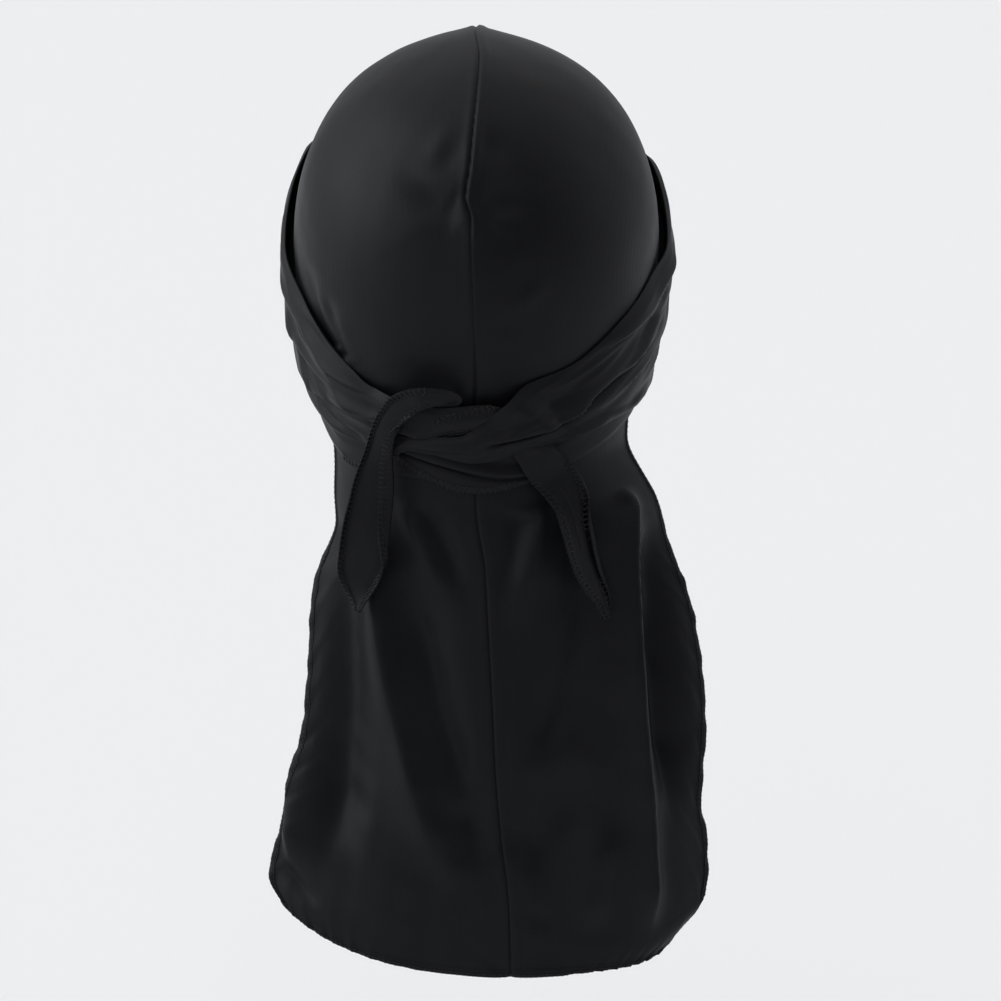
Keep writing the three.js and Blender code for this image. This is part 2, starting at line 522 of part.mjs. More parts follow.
function strap(name, round, knot, heading, spacing, colour) {
  const rows = strapRows(round, knot, heading);
  const keys = [0];
  for (let i = 1; i < rows.length; i += 1) {
    keys.push(keys[i - 1] + strapPoint(rows[i], 0, 0).distanceTo(strapPoint(rows[i - 1], 0, 0)));
  }
  const total = keys[keys.length - 1];
  const knotFrom = keys[round.length - 1];
  const places = [];
  const coarse = Math.round(knotFrom / spacing.round);
  for (let i = 0; i < coarse; i += 1) places.push((knotFrom * i) / coarse);
  const fine = Math.round((total - knotFrom) / spacing.knot);
  for (let i = 0; i <= fine; i += 1) places.push(knotFrom + ((total - knotFrom) * i) / fine);
  const value = (s) => {
    const row = {};
    ["turn", "z", "wt", "wz", "off"].forEach((c) => {
      row[c] = along(keys, column(rows, c), s);
    });
    return row;
  };
  const mid = (s, t) => strapPoint(value(Math.min(total, Math.max(0, s))), t, 0);
  const m = STRAP_COLUMNS;
  const rings = places.map((s) => {
    const outer = [];
    const inner = [];
    for (let j = 0; j <= m; j += 1) {
      const t = j / m - 0.5;
      const p = mid(s, t);
      const ds = mid(s + 0.4, t).sub(mid(s - 0.4, t));
      const row = value(s);
      const wide = strapPoint(row, Math.min(0.5, t + 0.05), 0).sub(strapPoint(row, Math.max(-0.5, t - 0.05), 0));
      const n = ds.cross(wide).normalize();
      outer.push(p.clone().addScaledVector(n, STRAP_WALL / 2));
      inner.push(p.clone().addScaledVector(n, -STRAP_WALL / 2));
    }
    return [...outer, ...inner.reverse()];
  });
  const caps = [];
  for (let j = 0; j < m; j += 1) {
    caps.push([j, j + 1, 2 * m - j], [j, 2 * m - j, 2 * m + 1 - j]);
  }
  return bodyFromRings(name, rings, caps, colour);
}

const durag = new THREE.Group();
durag.name = "durag";
durag.add(panel("left_panel", LEFT, 0x1b1b1f));
durag.add(panel("right_panel", RIGHT, 0x1d1d21));
durag.add(strap("left_strap", LEFT_STRAP_ROUND, LEFT_STRAP_KNOT, -1, { round: 12, knot: 5.5 }, 0x202025));
durag.add(strap("right_strap", RIGHT_STRAP_ROUND, RIGHT_STRAP_KNOT, 1, { round: 12, knot: 4.6 }, 0x222227));
export default durag;
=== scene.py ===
import math

import bpy
import numpy as np
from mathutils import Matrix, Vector


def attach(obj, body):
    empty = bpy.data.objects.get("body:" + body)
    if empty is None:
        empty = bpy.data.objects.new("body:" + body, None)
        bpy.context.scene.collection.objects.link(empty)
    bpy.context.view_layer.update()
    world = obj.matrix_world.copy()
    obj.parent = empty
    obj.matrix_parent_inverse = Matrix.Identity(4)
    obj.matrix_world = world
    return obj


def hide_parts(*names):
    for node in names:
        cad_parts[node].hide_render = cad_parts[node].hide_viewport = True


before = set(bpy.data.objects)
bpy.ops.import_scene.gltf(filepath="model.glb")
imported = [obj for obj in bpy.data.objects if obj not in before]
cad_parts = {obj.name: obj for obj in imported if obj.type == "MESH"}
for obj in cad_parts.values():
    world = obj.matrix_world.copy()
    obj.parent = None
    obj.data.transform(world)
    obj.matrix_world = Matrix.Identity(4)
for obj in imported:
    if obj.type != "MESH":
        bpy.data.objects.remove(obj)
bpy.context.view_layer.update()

# The durag, worked out in millimetres: +Z up, the wearer looks along -Y, the wearer's left is +X.
# Heights in the tables count from a zero 4.3 mm above the origin, as in the part itself.
TABLE_ZERO = 4.3
PANEL_WALL = 1.2  # outer face of the panels above the head
STRAP_WALL = 1.0
LAYER_GAP = 0.5
EQUATOR_Z = -88.0
DOME_TOP = -4.3
HEAD_ROUND = 2.2
DOME_ROUND = 2.22
KEEL_HIGH = 4.6
KEEL_WIDE = 15.0
CLOTH = 0.75  # thickness of the satin
LEFT, RIGHT = 1, -1
CROWN_SHARE = 0.53


def rows(text):
    """A table with named columns, as a dictionary of arrays."""
    lines = [line.split() for line in text.strip().splitlines()]
    return {name: np.array([float(r[i + 1]) for r in lines[1:]]) for i, name in enumerate(lines[0][1:])} | {
        "row": [r[0] for r in lines[1:]]
    }


HEAD = rows("""
row        z    left  right  back  front
equator   -88   74.9  74.9   97.0  95.0
below     -96   74.6  74.6   96.6  95.2
temple   -106   73.6  73.6   95.4  95.0
ear      -120   71.2  71.2   92.4  94.0
lobe     -135   68.2  68.4   88.2  92.0
nape     -150   65.0  65.8   84.6  90.0
neck     -165   62.0  65.5   82.6  88.0
low_neck -180   61.0  70.0   82.4  86.0
cloth    -200   63.0  79.0   84.8  86.0
flare    -240   70.0  92.0   89.0  86.0
""")

CROWN = rows("""
row          seam   edge  z
forehead     14     52    -84
hairline     34     60    -89
front_top    58     70    -95
top          86     82    -101
back_top     114    93    -106
behind_ear   142    102   -112
occiput      172    110   -123
under_strap  199    115   -138
strap_low    217.1  118   -152
""")

TAIL = rows("""
row        sx     sy    sz      lx    ly  lz    rx    ry  rz    bow  lLow  rLow
root       0      84.4  -152    60    32  -152  60    32  -152  84   1     1
neck       -1     82.4  -178    58.5  36  -178  70    40  -178  80   1     1
upper      -3.5   85    -204    57    42  -204  80    46  -204  76   1     1
shoulder   -5     88    -232    60.5  49  -232  89    51  -232  72   1     1
middle     -6.5   91    -260    63    55  -260  94    56  -260  70   1     1
lower      -7.8   94    -289    66    58  -288  95    60  -288  68   1     1
waist      -10    96.5  -316    73.5  61  -311  93    63  -312  66   1.3   1.3
flare      -13    98.5  -342    82.5  64  -331  96    66  -333  64   1.7   2.2
above_hem  -13.8  99.6  -362    86    68  -344  94.5  70  -350  62   2     5
hem        -14    100   -375.6  80    75  -355  80    76  -368  60   2.2   9
""")

# Folds seen from behind: a curve through three points, its half width toward the wearer's left
# (wl) and right (wr), how high it stands (a valley is negative), how sharp its crest is (2 is
# round) and over what share of its length it rises and dies away.
FOLDS = rows("""
row                 x0   z0    x1   z1    x2   z2    wl   wr   high  crest  in    out
left_outer_ridge    57   -196  63   -255  77   -345  4    10   8.2   1.5    0.2   0.12
left_valley         50   -190  50   -260  60   -340  7    9    -6.4  1.9    0.25  0.25
left_second_ridge   42   -190  38   -255  14   -330  10   6    7.2   1.7    0.2   0.25
left_inner_valley   28   -205  18   -260  -1   -312  7    8    -5.2  1.7    0.3   0.3
left_low_valley     8    -300  -2   -312  -10  -328  9    9    -3.6  1.8    0.4   0.4
left_low_ridge      24   -300  14   -325  -2   -345  8    9    2.4   2      0.4   0.4
left_v_ridge        30   -176  22   -196  8    -226  4.5  4.5  2.4   1.8    0.1   0.45
left_v_valley       21   -180  11   -200  -3   -228  5    5    -2.6  1.8    0.1   0.45
right_v_ridge       -28  -180  -22  -205  -12  -238  5    5    2.6   1.8    0.1   0.45
right_v_valley      -18  -184  -14  -200  -8   -222  5.5  5.5  -2.6  1.8    0.1   0.45
right_ridge         -58  -160  -63  -240  -72  -365  8    4    9.4   1.4    0.12  0.1
right_thin_ridge    -66  -190  -70  -215  -74  -240  3    3    2.6   1.6    0.25  0.4
right_hollow        -67  -185  -75  -250  -82  -325  6    10   -10.5 1.7    0.25  0.3
right_inner_valley  -46  -195  -40  -250  -22  -292  9    9    -5.2  1.8    0.25  0.3
right_low_hollow    -48  -285  -34  -318  -14  -330  14   14   -5.6  1.9    0.4   0.3
right_low_ridge     -52  -300  -50  -335  -44  -360  8    8    2.6   2      0.4   0.3
smile               -12  -347  -22  -353  -36  -350  5    5    -1.3  2      0.4   0.5
corner_crease       82   -335  74   -345  64   -354  3    3    -1.6  1.6    0.3   0.4
""")

# Finer creases of the crown, in the same columns.
CREASES = rows("""
row                 x0    z0     x1    z1     x2    z2     wl   wr   high   crest  in   out
pucker_left         32    -50    16    -59    2     -65    6    5    -2.2   1.9    0.7  0.15
pucker_left_lip     25    -47    13    -55    3     -60    5    5    0.9    2      0.6  0.2
loop_left           3     -34    15    -38    14    -50    4    4    0.7    2      0.4  0.4
loop_left_inside    2     -40    9     -43    9     -52    4    4    -0.6    2      0.4  0.4
pucker_right_high   -2    -41    -9    -43    -18   -39    5    5    -1.1   1.9    0.3  0.7
band_right          -3    -61    -14   -62    -30   -58    6    6    1.2    2      0.3  0.7
pucker_right        -4    -70    -14   -69    -28   -64    6    6    -1.7   1.9    0.4  0.6
small_right         -1    -70    -2    -73    -1    -77    2    2    0.6    2      0.3  0.5
diagonal_right      -30   -88    -18   -98    -7    -108   4    4    1.0    2      0.4  0.4
diagonal_right_low  -20   -98    -12   -104   -8    -112   4    4    -0.9   2      0.4  0.4
tuck_outer          68    -86    66    -106   56    -124   3.4  3.4  -2.6   1.6    0.4  0.08
tuck_outer_lip      64    -92    62    -108   53    -124   3.4  3.4  0.9    2      0.4  0.1
tuck_inner          58    -98    57    -112   51    -126   3    3    -2.1   1.6    0.4  0.08
tuck_inner_lip      54    -102   53    -114   47    -127   3.4  3.4  0.7    2      0.4  0.1
tuck_centre_left    30    -118   22    -126   16    -134   7    7    -0.7   2      0.4  0.1
tuck_centre_right   -18   -122   -20   -128   -20   -134   8    8    -0.6   2      0.4  0.1
""")

# Straps. turn: azimuth from the back of the head, growing toward the wearer's left; top and low:
# heights of the two edges; layer: how many layers up from the panel the strap lies there.
LEFT_STRAP_ROUND = rows("""
row              turn  top     low     layer
temple_root      128   -62     -106    1
over_ear         110   -68     -120    1
side             90    -86     -133    1
behind_ear       70    -109    -142    1
narrowed         47    -128    -149    1
above_other      40    -131    -150    1.5
above_other_end  33    -134    -152    2
over_other       24    -137    -161    2
nape             0     -147    -176    2
nape_right       -28   -141    -166    2
back_right       -46   -129    -158    2
behind_right     -68   -110    -149    2
right_side       -90   -88     -138    2
right_temple     -115  -62     -112    2
brow_right       -138  -45     -82     2
above_at_brow    -149  -39     -67     2
above_brow_end   -159  -39     -67     3
brow_crossing    -167  -41     -74     3
brow             -180  -44     -82     3
brow_left        -215  -50     -93     3
left_temple      -246  -52     -108    3
left_side        -270  -76     -131    3
left_behind_ear  -290  -95     -144    3
left_back        -307  -110    -150.5  3
left_back_in     -320  -123    -156    3.6
to_knot          -332  -133    -158.5  4
""")
RIGHT_STRAP_ROUND = rows("""
row              turn  top     low     layer
temple_root      -128  -62     -106    1
over_ear         -110  -68     -120    1
side             -90   -86     -133    1
behind_ear       -70   -109    -142    1
back             -46   -129    -154    1
nape             0     -146    -171    1
under_other      24    -151    -171    1
below_other      33    -153.5  -171    1
below_other_end  40    -153.5  -171    1.5
past_other       47    -151.5  -168    2
behind_left_ear  64    -130    -158    2
left_ear         78    -106    -150    2
left_side        90    -91     -143    2
left_temple      115   -64     -116    2
brow_left        145   -50     -92     2
brow             180   -54     -88     2
brow_crossing    192   -67     -93     2
below_at_brow    200   -72.5   -98     2
below_brow_end   211   -72.5   -102    3
brow_right       224   -62     -106    3
right_temple     248   -57     -118    3
right_side       270   -76     -136    3
right_ear        284   -87     -143    3
right_behind     301   -96     -147    3
right_back       318   -109    -149    4
right_back_in    333   -123    -151.5  5
""")

# The knot and the free ends: middle of the section, the direction of its width as an angle (0
# toward +X, 90 up), the width and the layer. first, second: how far the cloth at the first and the
# second edge has turned outward, in degrees; ftake, stake: the share of the width that turns.
LEFT_STRAP_KNOT = rows("""
row          x      z       across  wide  layer  first  second  ftake  stake
knot_in      31     -146.5  90      22    4      0      0       0.2    0.2
knot_upper   18     -147    92      17    4      0      0       0.2    0.2
knot_middle  8      -144.8  95      13.5  4      0      0       0.2    0.2
knot_thin    -4     -143.6  96      13    4      0      0       0.2    0.2
knot_turn    -15    -148.5  118     13    4      0      0       0.2    0.2
knot_out     -22.5  -157.5  142     13.5  4      0      0       0.2    0.2
end_top      -29.5  -167    148     16.5  4.6    0      30      0.3    0.3
end_upper    -36.5  -179    160     15    5.9    20     75      0.3    0.3
end_middle   -40.5  -195    164     16    6.6    30     150     0.35   0.32
end_lower    -45.5  -211    158     13.5  6.6    20     158     0.35   0.32
end_low      -50    -220    155     9     6.6    10     120     0.35   0.32
tip          -53    -228.5  155     2.4   6.6    0      20      0.3    0.3
""")
RIGHT_STRAP_KNOT = rows("""
row           x     z       across  wide  layer  first  second  ftake  stake
front_right   -17   -145.3  -97     22.5  5.2    0      0       0.2    0.2
front_middle  -5    -152    -100    17.5  5.5    0      0       0.2    0.2
front_left    5     -155.4  -95     11.5  5.5    0      0       0.2    0.2
tongue        17    -154.2  -92     7.5   5.4    0      0       0.2    0.2
tongue_thin   26    -154    -104    6     5.3    0      0       0.2    0.2
turn_down     31    -156    -140    6     5.1    0      0       0.2    0.2
turn_edge     33    -158.8  -176    6     4.9    0      0       0.2    0.2
turn_low      33.2  -160.6  -180    6     3.95   0      0       0.2    0.2
turn_in       32.6  -158.6  -183    6     3      0      0       0.2    0.2
behind_low    29    -152    -160    6.5   3      0      0       0.2    0.2
behind_mid    21    -145    -142    7     3      0      0       0.2    0.2
behind_high   12    -139    -156    5.4   3.1    0      0       0.2    0.2
turn_up       6.5   -135.6  -212    3.6   3.3    0      0       0.2    0.2
over_top      10    -133    -258    5     4.8    0      0       0.2    0.2
end_root      18    -132.4  -276    8     6.5    0      0       0.2    0.2
end_bend      26.5  -135    -296    10.5  6.8    30     20      0.3    0.3
end_top       33.5  -143    -326    12.5  6.5    120    50      0.40   0.22
end_upper     37.2  -157    -346    15.5  6.5    165    80      0.42   0.2
end_middle    39.4  -174    -354    18.5  7.0    165    92      0.40   0.2
end_lower     42    -192    -358    20    7.2    140    95      0.36   0.2
end_wide      44    -206    -360    19    7.4    95     85      0.32   0.2
end_low       46.2  -217    -362    11    7.6    30     40      0.3    0.3
tip           47.6  -227    -362    2.4   7.8    0      0       0.3    0.3
""")

# Lengthwise folds of the straps. Each row is one point of a fold line: which line, the azimuth and
# the height it runs through, how far the cloth above it stands proud and how wide that lobe is.
PLEATS = {
    "left_strap": {
        "lower_strip": rows("""
row   turn   z       high  lobe
a     -25    -163    0     5
b     -11    -170    1.1   6
c     -5.5   -169.7  1.3   7
d     4.3    -166.4  1.5   7
e     13     -162.8  1.4   7
f     23     -158.3  0.9   6
g     32     -155    0     5
"""),
        "middle_strip": rows("""
row   turn   z       high  lobe
a     -30    -153    0     5
b     -15    -158    0.9   6
c     0      -158    1.1   7
d     14     -152    0.9   6
e     28     -147    0     5
"""),
        "lower_roll": rows("""
row   turn  z       high  lobe
a     -268  -132    0     4
b     -290  -145.5  1.2   4.5
c     -307  -152    1.8   5
d     -320  -157.5  2.0   5
e     -332  -160.5  1.6   5
f     -342  -161    0     4
"""),
        "upper_groove": rows("""
row   turn  z       high  lobe
a     -258  -84     0     5
b     -280  -100    1.2   6
c     -296  -112    1.9   7
d     -309  -122    2.0   7
e     -318  -130    1.6   6
f     -325  -133.5  0.9   5
g     -334  -136    0     4
"""),
        "middle_fold": rows("""
row   turn  z       high  lobe
a     -262  -104    0     7
b     -280  -116    0.9   8
c     -298  -127    1.0   8
d     -312  -135    0.6   7
e     -324  -139    0     5
"""),
        "lower_fold": rows("""
row   turn  z       high  lobe
a     -275  -126    0     8
b     -290  -137    1.2   9
c     -300  -141.5  1.7   9
d     -308  -143    2.0   10
e     -322  -143.5  1.9   9
f     -331  -145    1.6   8
g     -345  -151    1.1   6
h     -352  -152.5  0     5
"""),
    },
    "right_strap": {
        "lower_roll": rows("""
row   turn   z       high  lobe
a     272    -138.5  0     4
b     292    -146.5  1.2   4.5
c     304    -148.8  1.8   5
d     318    -150.4  2.1   5
e     331    -152.6  2.2   5
f     343    -157    2.0   5
g     351    -161.5  1.4   5
h     357    -164    0     4
"""),
        "upper_groove": rows("""
row   turn  z       high  lobe
a     258   -80     0     5
b     275   -92     1.3   6
c     294   -101.3  2.0   7
d     302   -107.8  2.1   7
e     311   -112.2  1.8   6
f     317   -115.5  1.3   5
g     325   -120    0     4
"""),
        "side_fold": rows("""
row   turn   z       high  lobe
a     262    -108    0     7
b     280    -118    1.0   8
c     295    -126    1.3   9
d     310    -133    1.0   8
e     320    -138    0     6
"""),
        "first_fold": rows("""
row   turn   z       high  lobe
a     296    -118    0     9
b     312    -127    1.2   10
c     322.3  -132.7  2.3   12
d     328    -136.8  2.6   12
e     333.7  -142.3  2.7   11
f     339.4  -145.9  2.6   9
g     345.8  -148.8  2.2   7
h     353.7  -151.9  1.4   5
i     358    -153.5  0     4
"""),
    },
}


# ---------------------------------------------------------------- helpers
def smooth(t):
    c = np.clip(t, 0.0, 1.0)
    return c * c * (3 - 2 * c)


def along(keys, values, at):
    """A smooth curve through the rows of a table, without overshoot (keys must rise)."""
    keys, values, at = np.asarray(keys, float), np.asarray(values, float), np.asarray(at, float)
    h = np.diff(keys)
    d = np.diff(values) / h
    m = np.zeros(len(keys))
    m[0], m[-1] = d[0], d[-1]
    for k in range(1, len(keys) - 1):
        if d[k - 1] * d[k] > 0:
            limit = 3 * min(abs(d[k - 1]), abs(d[k]))
            s = (d[k - 1] * h[k] + d[k] * h[k - 1]) / (h[k - 1] + h[k])
            m[k] = math.copysign(min(abs(s), limit), s)
    a = np.clip(at, keys[0], keys[-1])
    i = np.clip(np.searchsorted(keys, a, side="right") - 1, 0, len(keys) - 2)
    t = (a - keys[i]) / h[i]
    return (
        (2 * t**3 - 3 * t**2 + 1) * values[i]
        + (t**3 - 2 * t**2 + t) * h[i] * m[i]
        + (3 * t**2 - 2 * t**3) * values[i + 1]
        + (t**3 - t**2) * h[i] * m[i + 1]
    )


def unit(v):
    return v / np.maximum(1e-12, np.linalg.norm(v, axis=-1, keepdims=True))


def ring(z):
    up = np.clip((z - EQUATOR_Z) / (DOME_TOP - EQUATOR_Z), 0, 1)
    s = np.maximum(1e-4, 1 - up**DOME_ROUND) ** (1 / DOME_ROUND)
    return [
        np.where(z >= EQUATOR_Z, HEAD[c][0] * s, along(-HEAD["z"], HEAD[c], -z))
        for c in ("left", "right", "back", "front")
    ]


def head_level(x, y, z):
    """Over 1 outside the head, under 1 inside."""
    depth = np.where(y > 0, HEAD["back"][0], HEAD["front"][0])
    flat = (np.abs(x) / HEAD["left"][0]) ** HEAD_ROUND + (np.abs(y) / depth) ** HEAD_ROUND
    top = flat ** (DOME_ROUND / HEAD_ROUND) + (np.abs(z - EQUATOR_Z) / (DOME_TOP - EQUATOR_Z)) ** DOME_ROUND
    left, right, back, front = ring(z)
    low = (np.abs(x) / np.where(x > 0, left, right)) ** HEAD_ROUND + (
        np.abs(y) / np.where(y > 0, back, front)
    ) ** HEAD_ROUND
    return np.where(z >= EQUATOR_Z, top, low)


def head_normal(p):
    e = 0.05
    x, y, z = p[..., 0], p[..., 1], p[..., 2]
    return unit(
        np.stack(
            [
                head_level(x + e, y, z) - head_level(x - e, y, z),
                head_level(x, y + e, z) - head_level(x, y - e, z),
                head_level(x, y, z + e) - head_level(x, y, z - e),
            ],
            -1,
        )
    )


def head_at(turn, z):
    """The head's surface at an azimuth from the back (radians, toward +X) and a height."""
    left, right, back, front = ring(z)
    s, c = np.sin(turn), np.cos(turn)
    q = (
        (np.abs(s) / np.where(s > 0, left, right)) ** HEAD_ROUND
        + (np.abs(c) / np.where(c > 0, back, front)) ** HEAD_ROUND
    ) ** (-1 / HEAD_ROUND)
    return np.stack([s * q, c * q, z + 0 * q], -1)


def head_toward(d):
    """The head's surface in a direction from its centre."""
    near, far = np.full(d.shape[:-1], 10.0), np.full(d.shape[:-1], 260.0)
    for _ in range(40):
        mid = (near + far) / 2
        out = head_level(d[..., 0] * mid, d[..., 1] * mid, EQUATOR_Z + d[..., 2] * mid) > 1
        far = np.where(out, mid, far)
        near = np.where(out, near, mid)
    p = d * near[..., None]
    p[..., 2] += EQUATOR_Z
    return p


def ripples(p, length, count, seed):
    """Even, gentle unevenness of cloth: waves of about one length in all directions, about -1..1."""
    rng = np.random.default_rng(seed)
    total = np.zeros(p.shape[:-1])
    for _ in range(count):
        k = unit(rng.normal(size=3)) * 2 * math.pi / (length * rng.uniform(0.7, 1.5))
        total += np.sin(p @ k + rng.uniform(0, 2 * math.pi))
    return total / math.sqrt(count)


# ---------------------------------------------------------------- the panels
def crown_point(side, v, u):
    keys = np.arange(len(CROWN["z"]))
    seam = np.radians(along(keys, CROWN["seam"], v))
    start = np.stack([0 * seam, -np.cos(seam), np.sin(seam)], -1)
    azimuth = side * (math.pi - np.radians(along(keys, CROWN["edge"], v)))
    edge_z = along(keys, CROWN["z"], v)
    end = head_at(azimuth, edge_z)
    end[..., 2] -= EQUATOR_Z
    end = unit(end)
    angle = np.arccos(np.clip((start * end).sum(-1), -1, 1))
    a = np.sin((1 - u) * angle) / np.sin(angle)
    b = np.sin(u * angle) / np.sin(angle)
    seam_z = head_toward(start)[..., 2]
    p = head_toward(unit(start * a[..., None] + end * b[..., None]))
    level = smooth((v - (len(keys) - 4)) / 2.4)[..., None]
    q = head_at(azimuth * u, seam_z + (edge_z - seam_z) * u)
    return p * (1 - level) + q * level


TAIL_KEYS = -TAIL["sz"]


def tail_point(side, v, u):
    key = -along(np.arange(len(TAIL_KEYS)), TAIL["sz"], v)
    get = lambda name: along(TAIL_KEYS, TAIL[name], key)
    bow = np.radians(get("bow"))
    across = np.sin(bow * u) / np.sin(bow)
    curve = (1 - np.cos(bow * u)) / (1 - np.cos(bow))
    h = "l" if side == LEFT else "r"
    ex, ey, ez, low = side * get(h + "x"), get(h + "y"), get(h + "z"), get(h + "Low")
    sx, sy = get("sx"), get("sy")
    z = -key + (ez + key) * u**low
    p = np.stack([sx + (ex - sx) * across, sy + (ey - sy) * curve, z], -1)
    free = smooth((key - 174 + 14 * u) / 34)[..., None]
    q = head_at(np.arctan2(ex, ey) * u, z)
    return p * free + q * (1 - free)


def panel_base(side, w, u):
    crown = crown_point(side, np.minimum(w / CROWN_SHARE, 1) * (len(CROWN["z"]) - 1), u)
    tail = tail_point(side, np.maximum((w - CROWN_SHARE) / (1 - CROWN_SHARE), 0) * (len(TAIL_KEYS) - 1), u)
    return np.where((w < CROWN_SHARE)[..., None], crown, tail)


def seam_x(z):
    return along(TAIL_KEYS, TAIL["sx"], -z) * smooth((-z - 174) / 34)


def fold_high(table, x, y, z, seam_share):
    total = np.zeros(x.shape)
    for i in range(len(table["row"])):
        g = {k: table[k][i] for k in table if k != "row"}
        best = np.full(x.shape, 1e9)
        at = np.zeros(x.shape)
        off = np.zeros(x.shape)
        steps = 40
        t = np.linspace(0, 1, steps + 1)
        px = (1 - t) ** 2 * g["x0"] + 2 * t * (1 - t) * g["x1"] + t * t * g["x2"]
        pz = (1 - t) ** 2 * g["z0"] + 2 * t * (1 - t) * g["z1"] + t * t * g["z2"]
        reach = 3.2 * max(g["wl"], g["wr"])
        near = (x > px.min() - reach) & (x < px.max() + reach) & (z > pz.min() - reach) & (z < pz.max() + reach)
        if not near.any():
            continue
        nx, nz = x[near], z[near]
        b, a, o = best[near], at[near], off[near]
        for k in range(steps):
            ex, ez = px[k + 1] - px[k], pz[k + 1] - pz[k]
            length = ex * ex + ez * ez
            f = np.clip(((nx - px[k]) * ex + (nz - pz[k]) * ez) / length, 0, 1)
            dx, dz = nx - px[k] - f * ex, nz - pz[k] - f * ez
            d = dx * dx + dz * dz
            closer = d < b
            b = np.where(closer, d, b)
            a = np.where(closer, (k + f) / steps, a)
            o = np.where(closer, dx * -ez + dz * ex, o)
        wide = np.where(o > 0, g["wl"], g["wr"])
        d = np.sqrt(b) / wide
        rise = smooth(a / g["in"]) * smooth((1 - a) / g["out"])
        part = np.zeros(x.shape)
        part[near] = g["high"] * rise * np.exp(-np.power(d + 1e-9, g["crest"]))
        total += part
    at_seam = seam_share + (1 - seam_share) * smooth((np.abs(x - seam_x(z)) - 2) / 12)
    return np.where(y < -12, 0, total * at_seam)


SEAM_WANDER = rows("""
row      z     x
top      1     1.0
peak     -5    0.2
right    -12   -1.6
upper    -22   -0.9
straight -36   0.6
bow      -48   1.8
kink     -59   3.4
back     -66   1.3
under    -77   1.2
lower    -90   0.8
low      -104  0.4
strap    -122  0
""")


def wander(x, y, z):
    """The crown's seam is pulled from side to side by the puckers beside it."""
    side = along(-SEAM_WANDER["z"], SEAM_WANDER["x"], -z)
    return side * np.exp(-((x / 24) ** 2)) * smooth((y + 30) / 30)


def keel(x, y, z):
    held = smooth((-z - 96) / 36)
    front = smooth((y + 90) / 50)
    return KEEL_HIGH * np.exp(-np.abs(x) / KEEL_WIDE) * (1 - held) * (0.1 + 0.9 * front)


def normals(p, side):
    n = unit(np.cross(np.gradient(p, axis=1), np.gradient(p, axis=0)))
    return n if side == LEFT else -n


def arc(p, axis):
    step = np.linalg.norm(np.diff(p, axis=axis), axis=-1)
    zero = np.zeros_like(np.take(step, [0], axis=axis))
    return np.concatenate([zero, np.cumsum(step, axis=axis)], axis=axis)


PANEL_ROWS = 392
SEAM_COLUMNS = np.concatenate([np.arange(0, 0.0101, 0.0025), np.array([0.0135, 0.0175, 0.022, 0.028, 0.036])])
PANEL_COLUMNS = np.concatenate([SEAM_COLUMNS, np.linspace(0.046, 0.965, 76), np.array([0.972, 0.979, 0.985, 0.991, 0.996, 1.0])])


def panel_surface(side):
    """Outer face of a panel: points, normals and the distance from its free edge."""
    w, u = np.meshgrid(np.linspace(0, 1, PANEL_ROWS), PANEL_COLUMNS, indexing="ij")
    base = panel_base(side, w, u)
    n = normals(base, side)
    n[:, 0, 0] = 0
    n = unit(n)
    x, y, z = base[..., 0], base[..., 1], base[..., 2]
    from_seam = arc(base, 1)
    to_side = from_seam[:, -1:] - from_seam
    down = arc(base, 0)
    to_hem = down[-1:, :] - down
    to_brow = down
    free = np.minimum(to_side, to_hem)

    held = 1 - smooth((z + 112) / -16) * smooth((-191 - z) / -13)
    high = fold_high(FOLDS, x, y, z, 0.35) * held
    high += fold_high(CREASES, x, y, z, 0.8) * (1 - smooth((-128 - z) / 12))
    pressed = smooth((-104 - z) / 8) * smooth((z + 184) / 6)
    high = np.where(high > 0.3, high + (0.3 - high) * pressed, high)
    high += keel(x, y, z)
    # cloth is never quite even
    tail = smooth((-182 - z) / 40)
    high += (0.16 + 0.3 * tail) * ripples(base, 46, 9, 3 if side == LEFT else 4) * smooth(from_seam / 12)
    high += (0.05 + 0.10 * tail) * ripples(base, 15, 9, 5 if side == LEFT else 6) * smooth(from_seam / 8)
    # the sewn edge of the tail waves a little
    edge_run = down + from_seam
    wave = np.sin(edge_run / 17 * 2 * math.pi + 0.9 * np.sin(edge_run / 41)) + 0.5 * np.sin(edge_run / 9.3 * 2 * math.pi)
    high += 0.28 * wave * np.exp(-free / 6) * tail
    # the centre seam: the two panels dip into the stitching, and the allowance makes the wearer's
    # right side a flat ridge beside it
    pull = 1 + 0.22 * np.sin(down / 3.1 * 2 * math.pi)
    low = smooth((-56 - z) / 20)
    high -= (0.95 - 0.45 * low) * np.exp(-((from_seam / (0.95 - 0.25 * low)) ** 2)) * pull
    if side == RIGHT:
        high += (0.5 - 0.32 * low) * smooth((from_seam - 0.3) / 1.0) * smooth((4.6 - from_seam) / 1.2)
    else:
        high += 0.12 * smooth((from_seam - 0.3) / 1.0) * smooth((3.6 - from_seam) / 1.2)
    # edges thickened by the overlock
    high += 0.28 * smooth((3.9 - to_side) / 0.8) + 0.28 * smooth((3.9 - to_hem) / 0.8) * smooth(to_side / 3)
    p = base + n * (PANEL_WALL + high)[..., None]
    p[:, 0, 0] = seam_x(p[:, 0, 2]) + side * 0.012
    p[..., 0] += wander(base[..., 0] - base[:, :1, 0], y, z[:, :1] + 0 * z)
    return p, normals(p, side), free, down, from_seam


# ---------------------------------------------------------------- the straps
def layer_off(layer):
    return PANEL_WALL + LAYER_GAP + STRAP_WALL / 2 + (layer - 1) * (STRAP_WALL + LAYER_GAP)


def turn_at(x, z):
    left, right, back, front = ring(np.array(z))
    s = min(0.999, abs(x) / float(left if x > 0 else right))
    return math.atan2(x, float(back) * (1 - s**HEAD_ROUND) ** (1 / HEAD_ROUND))


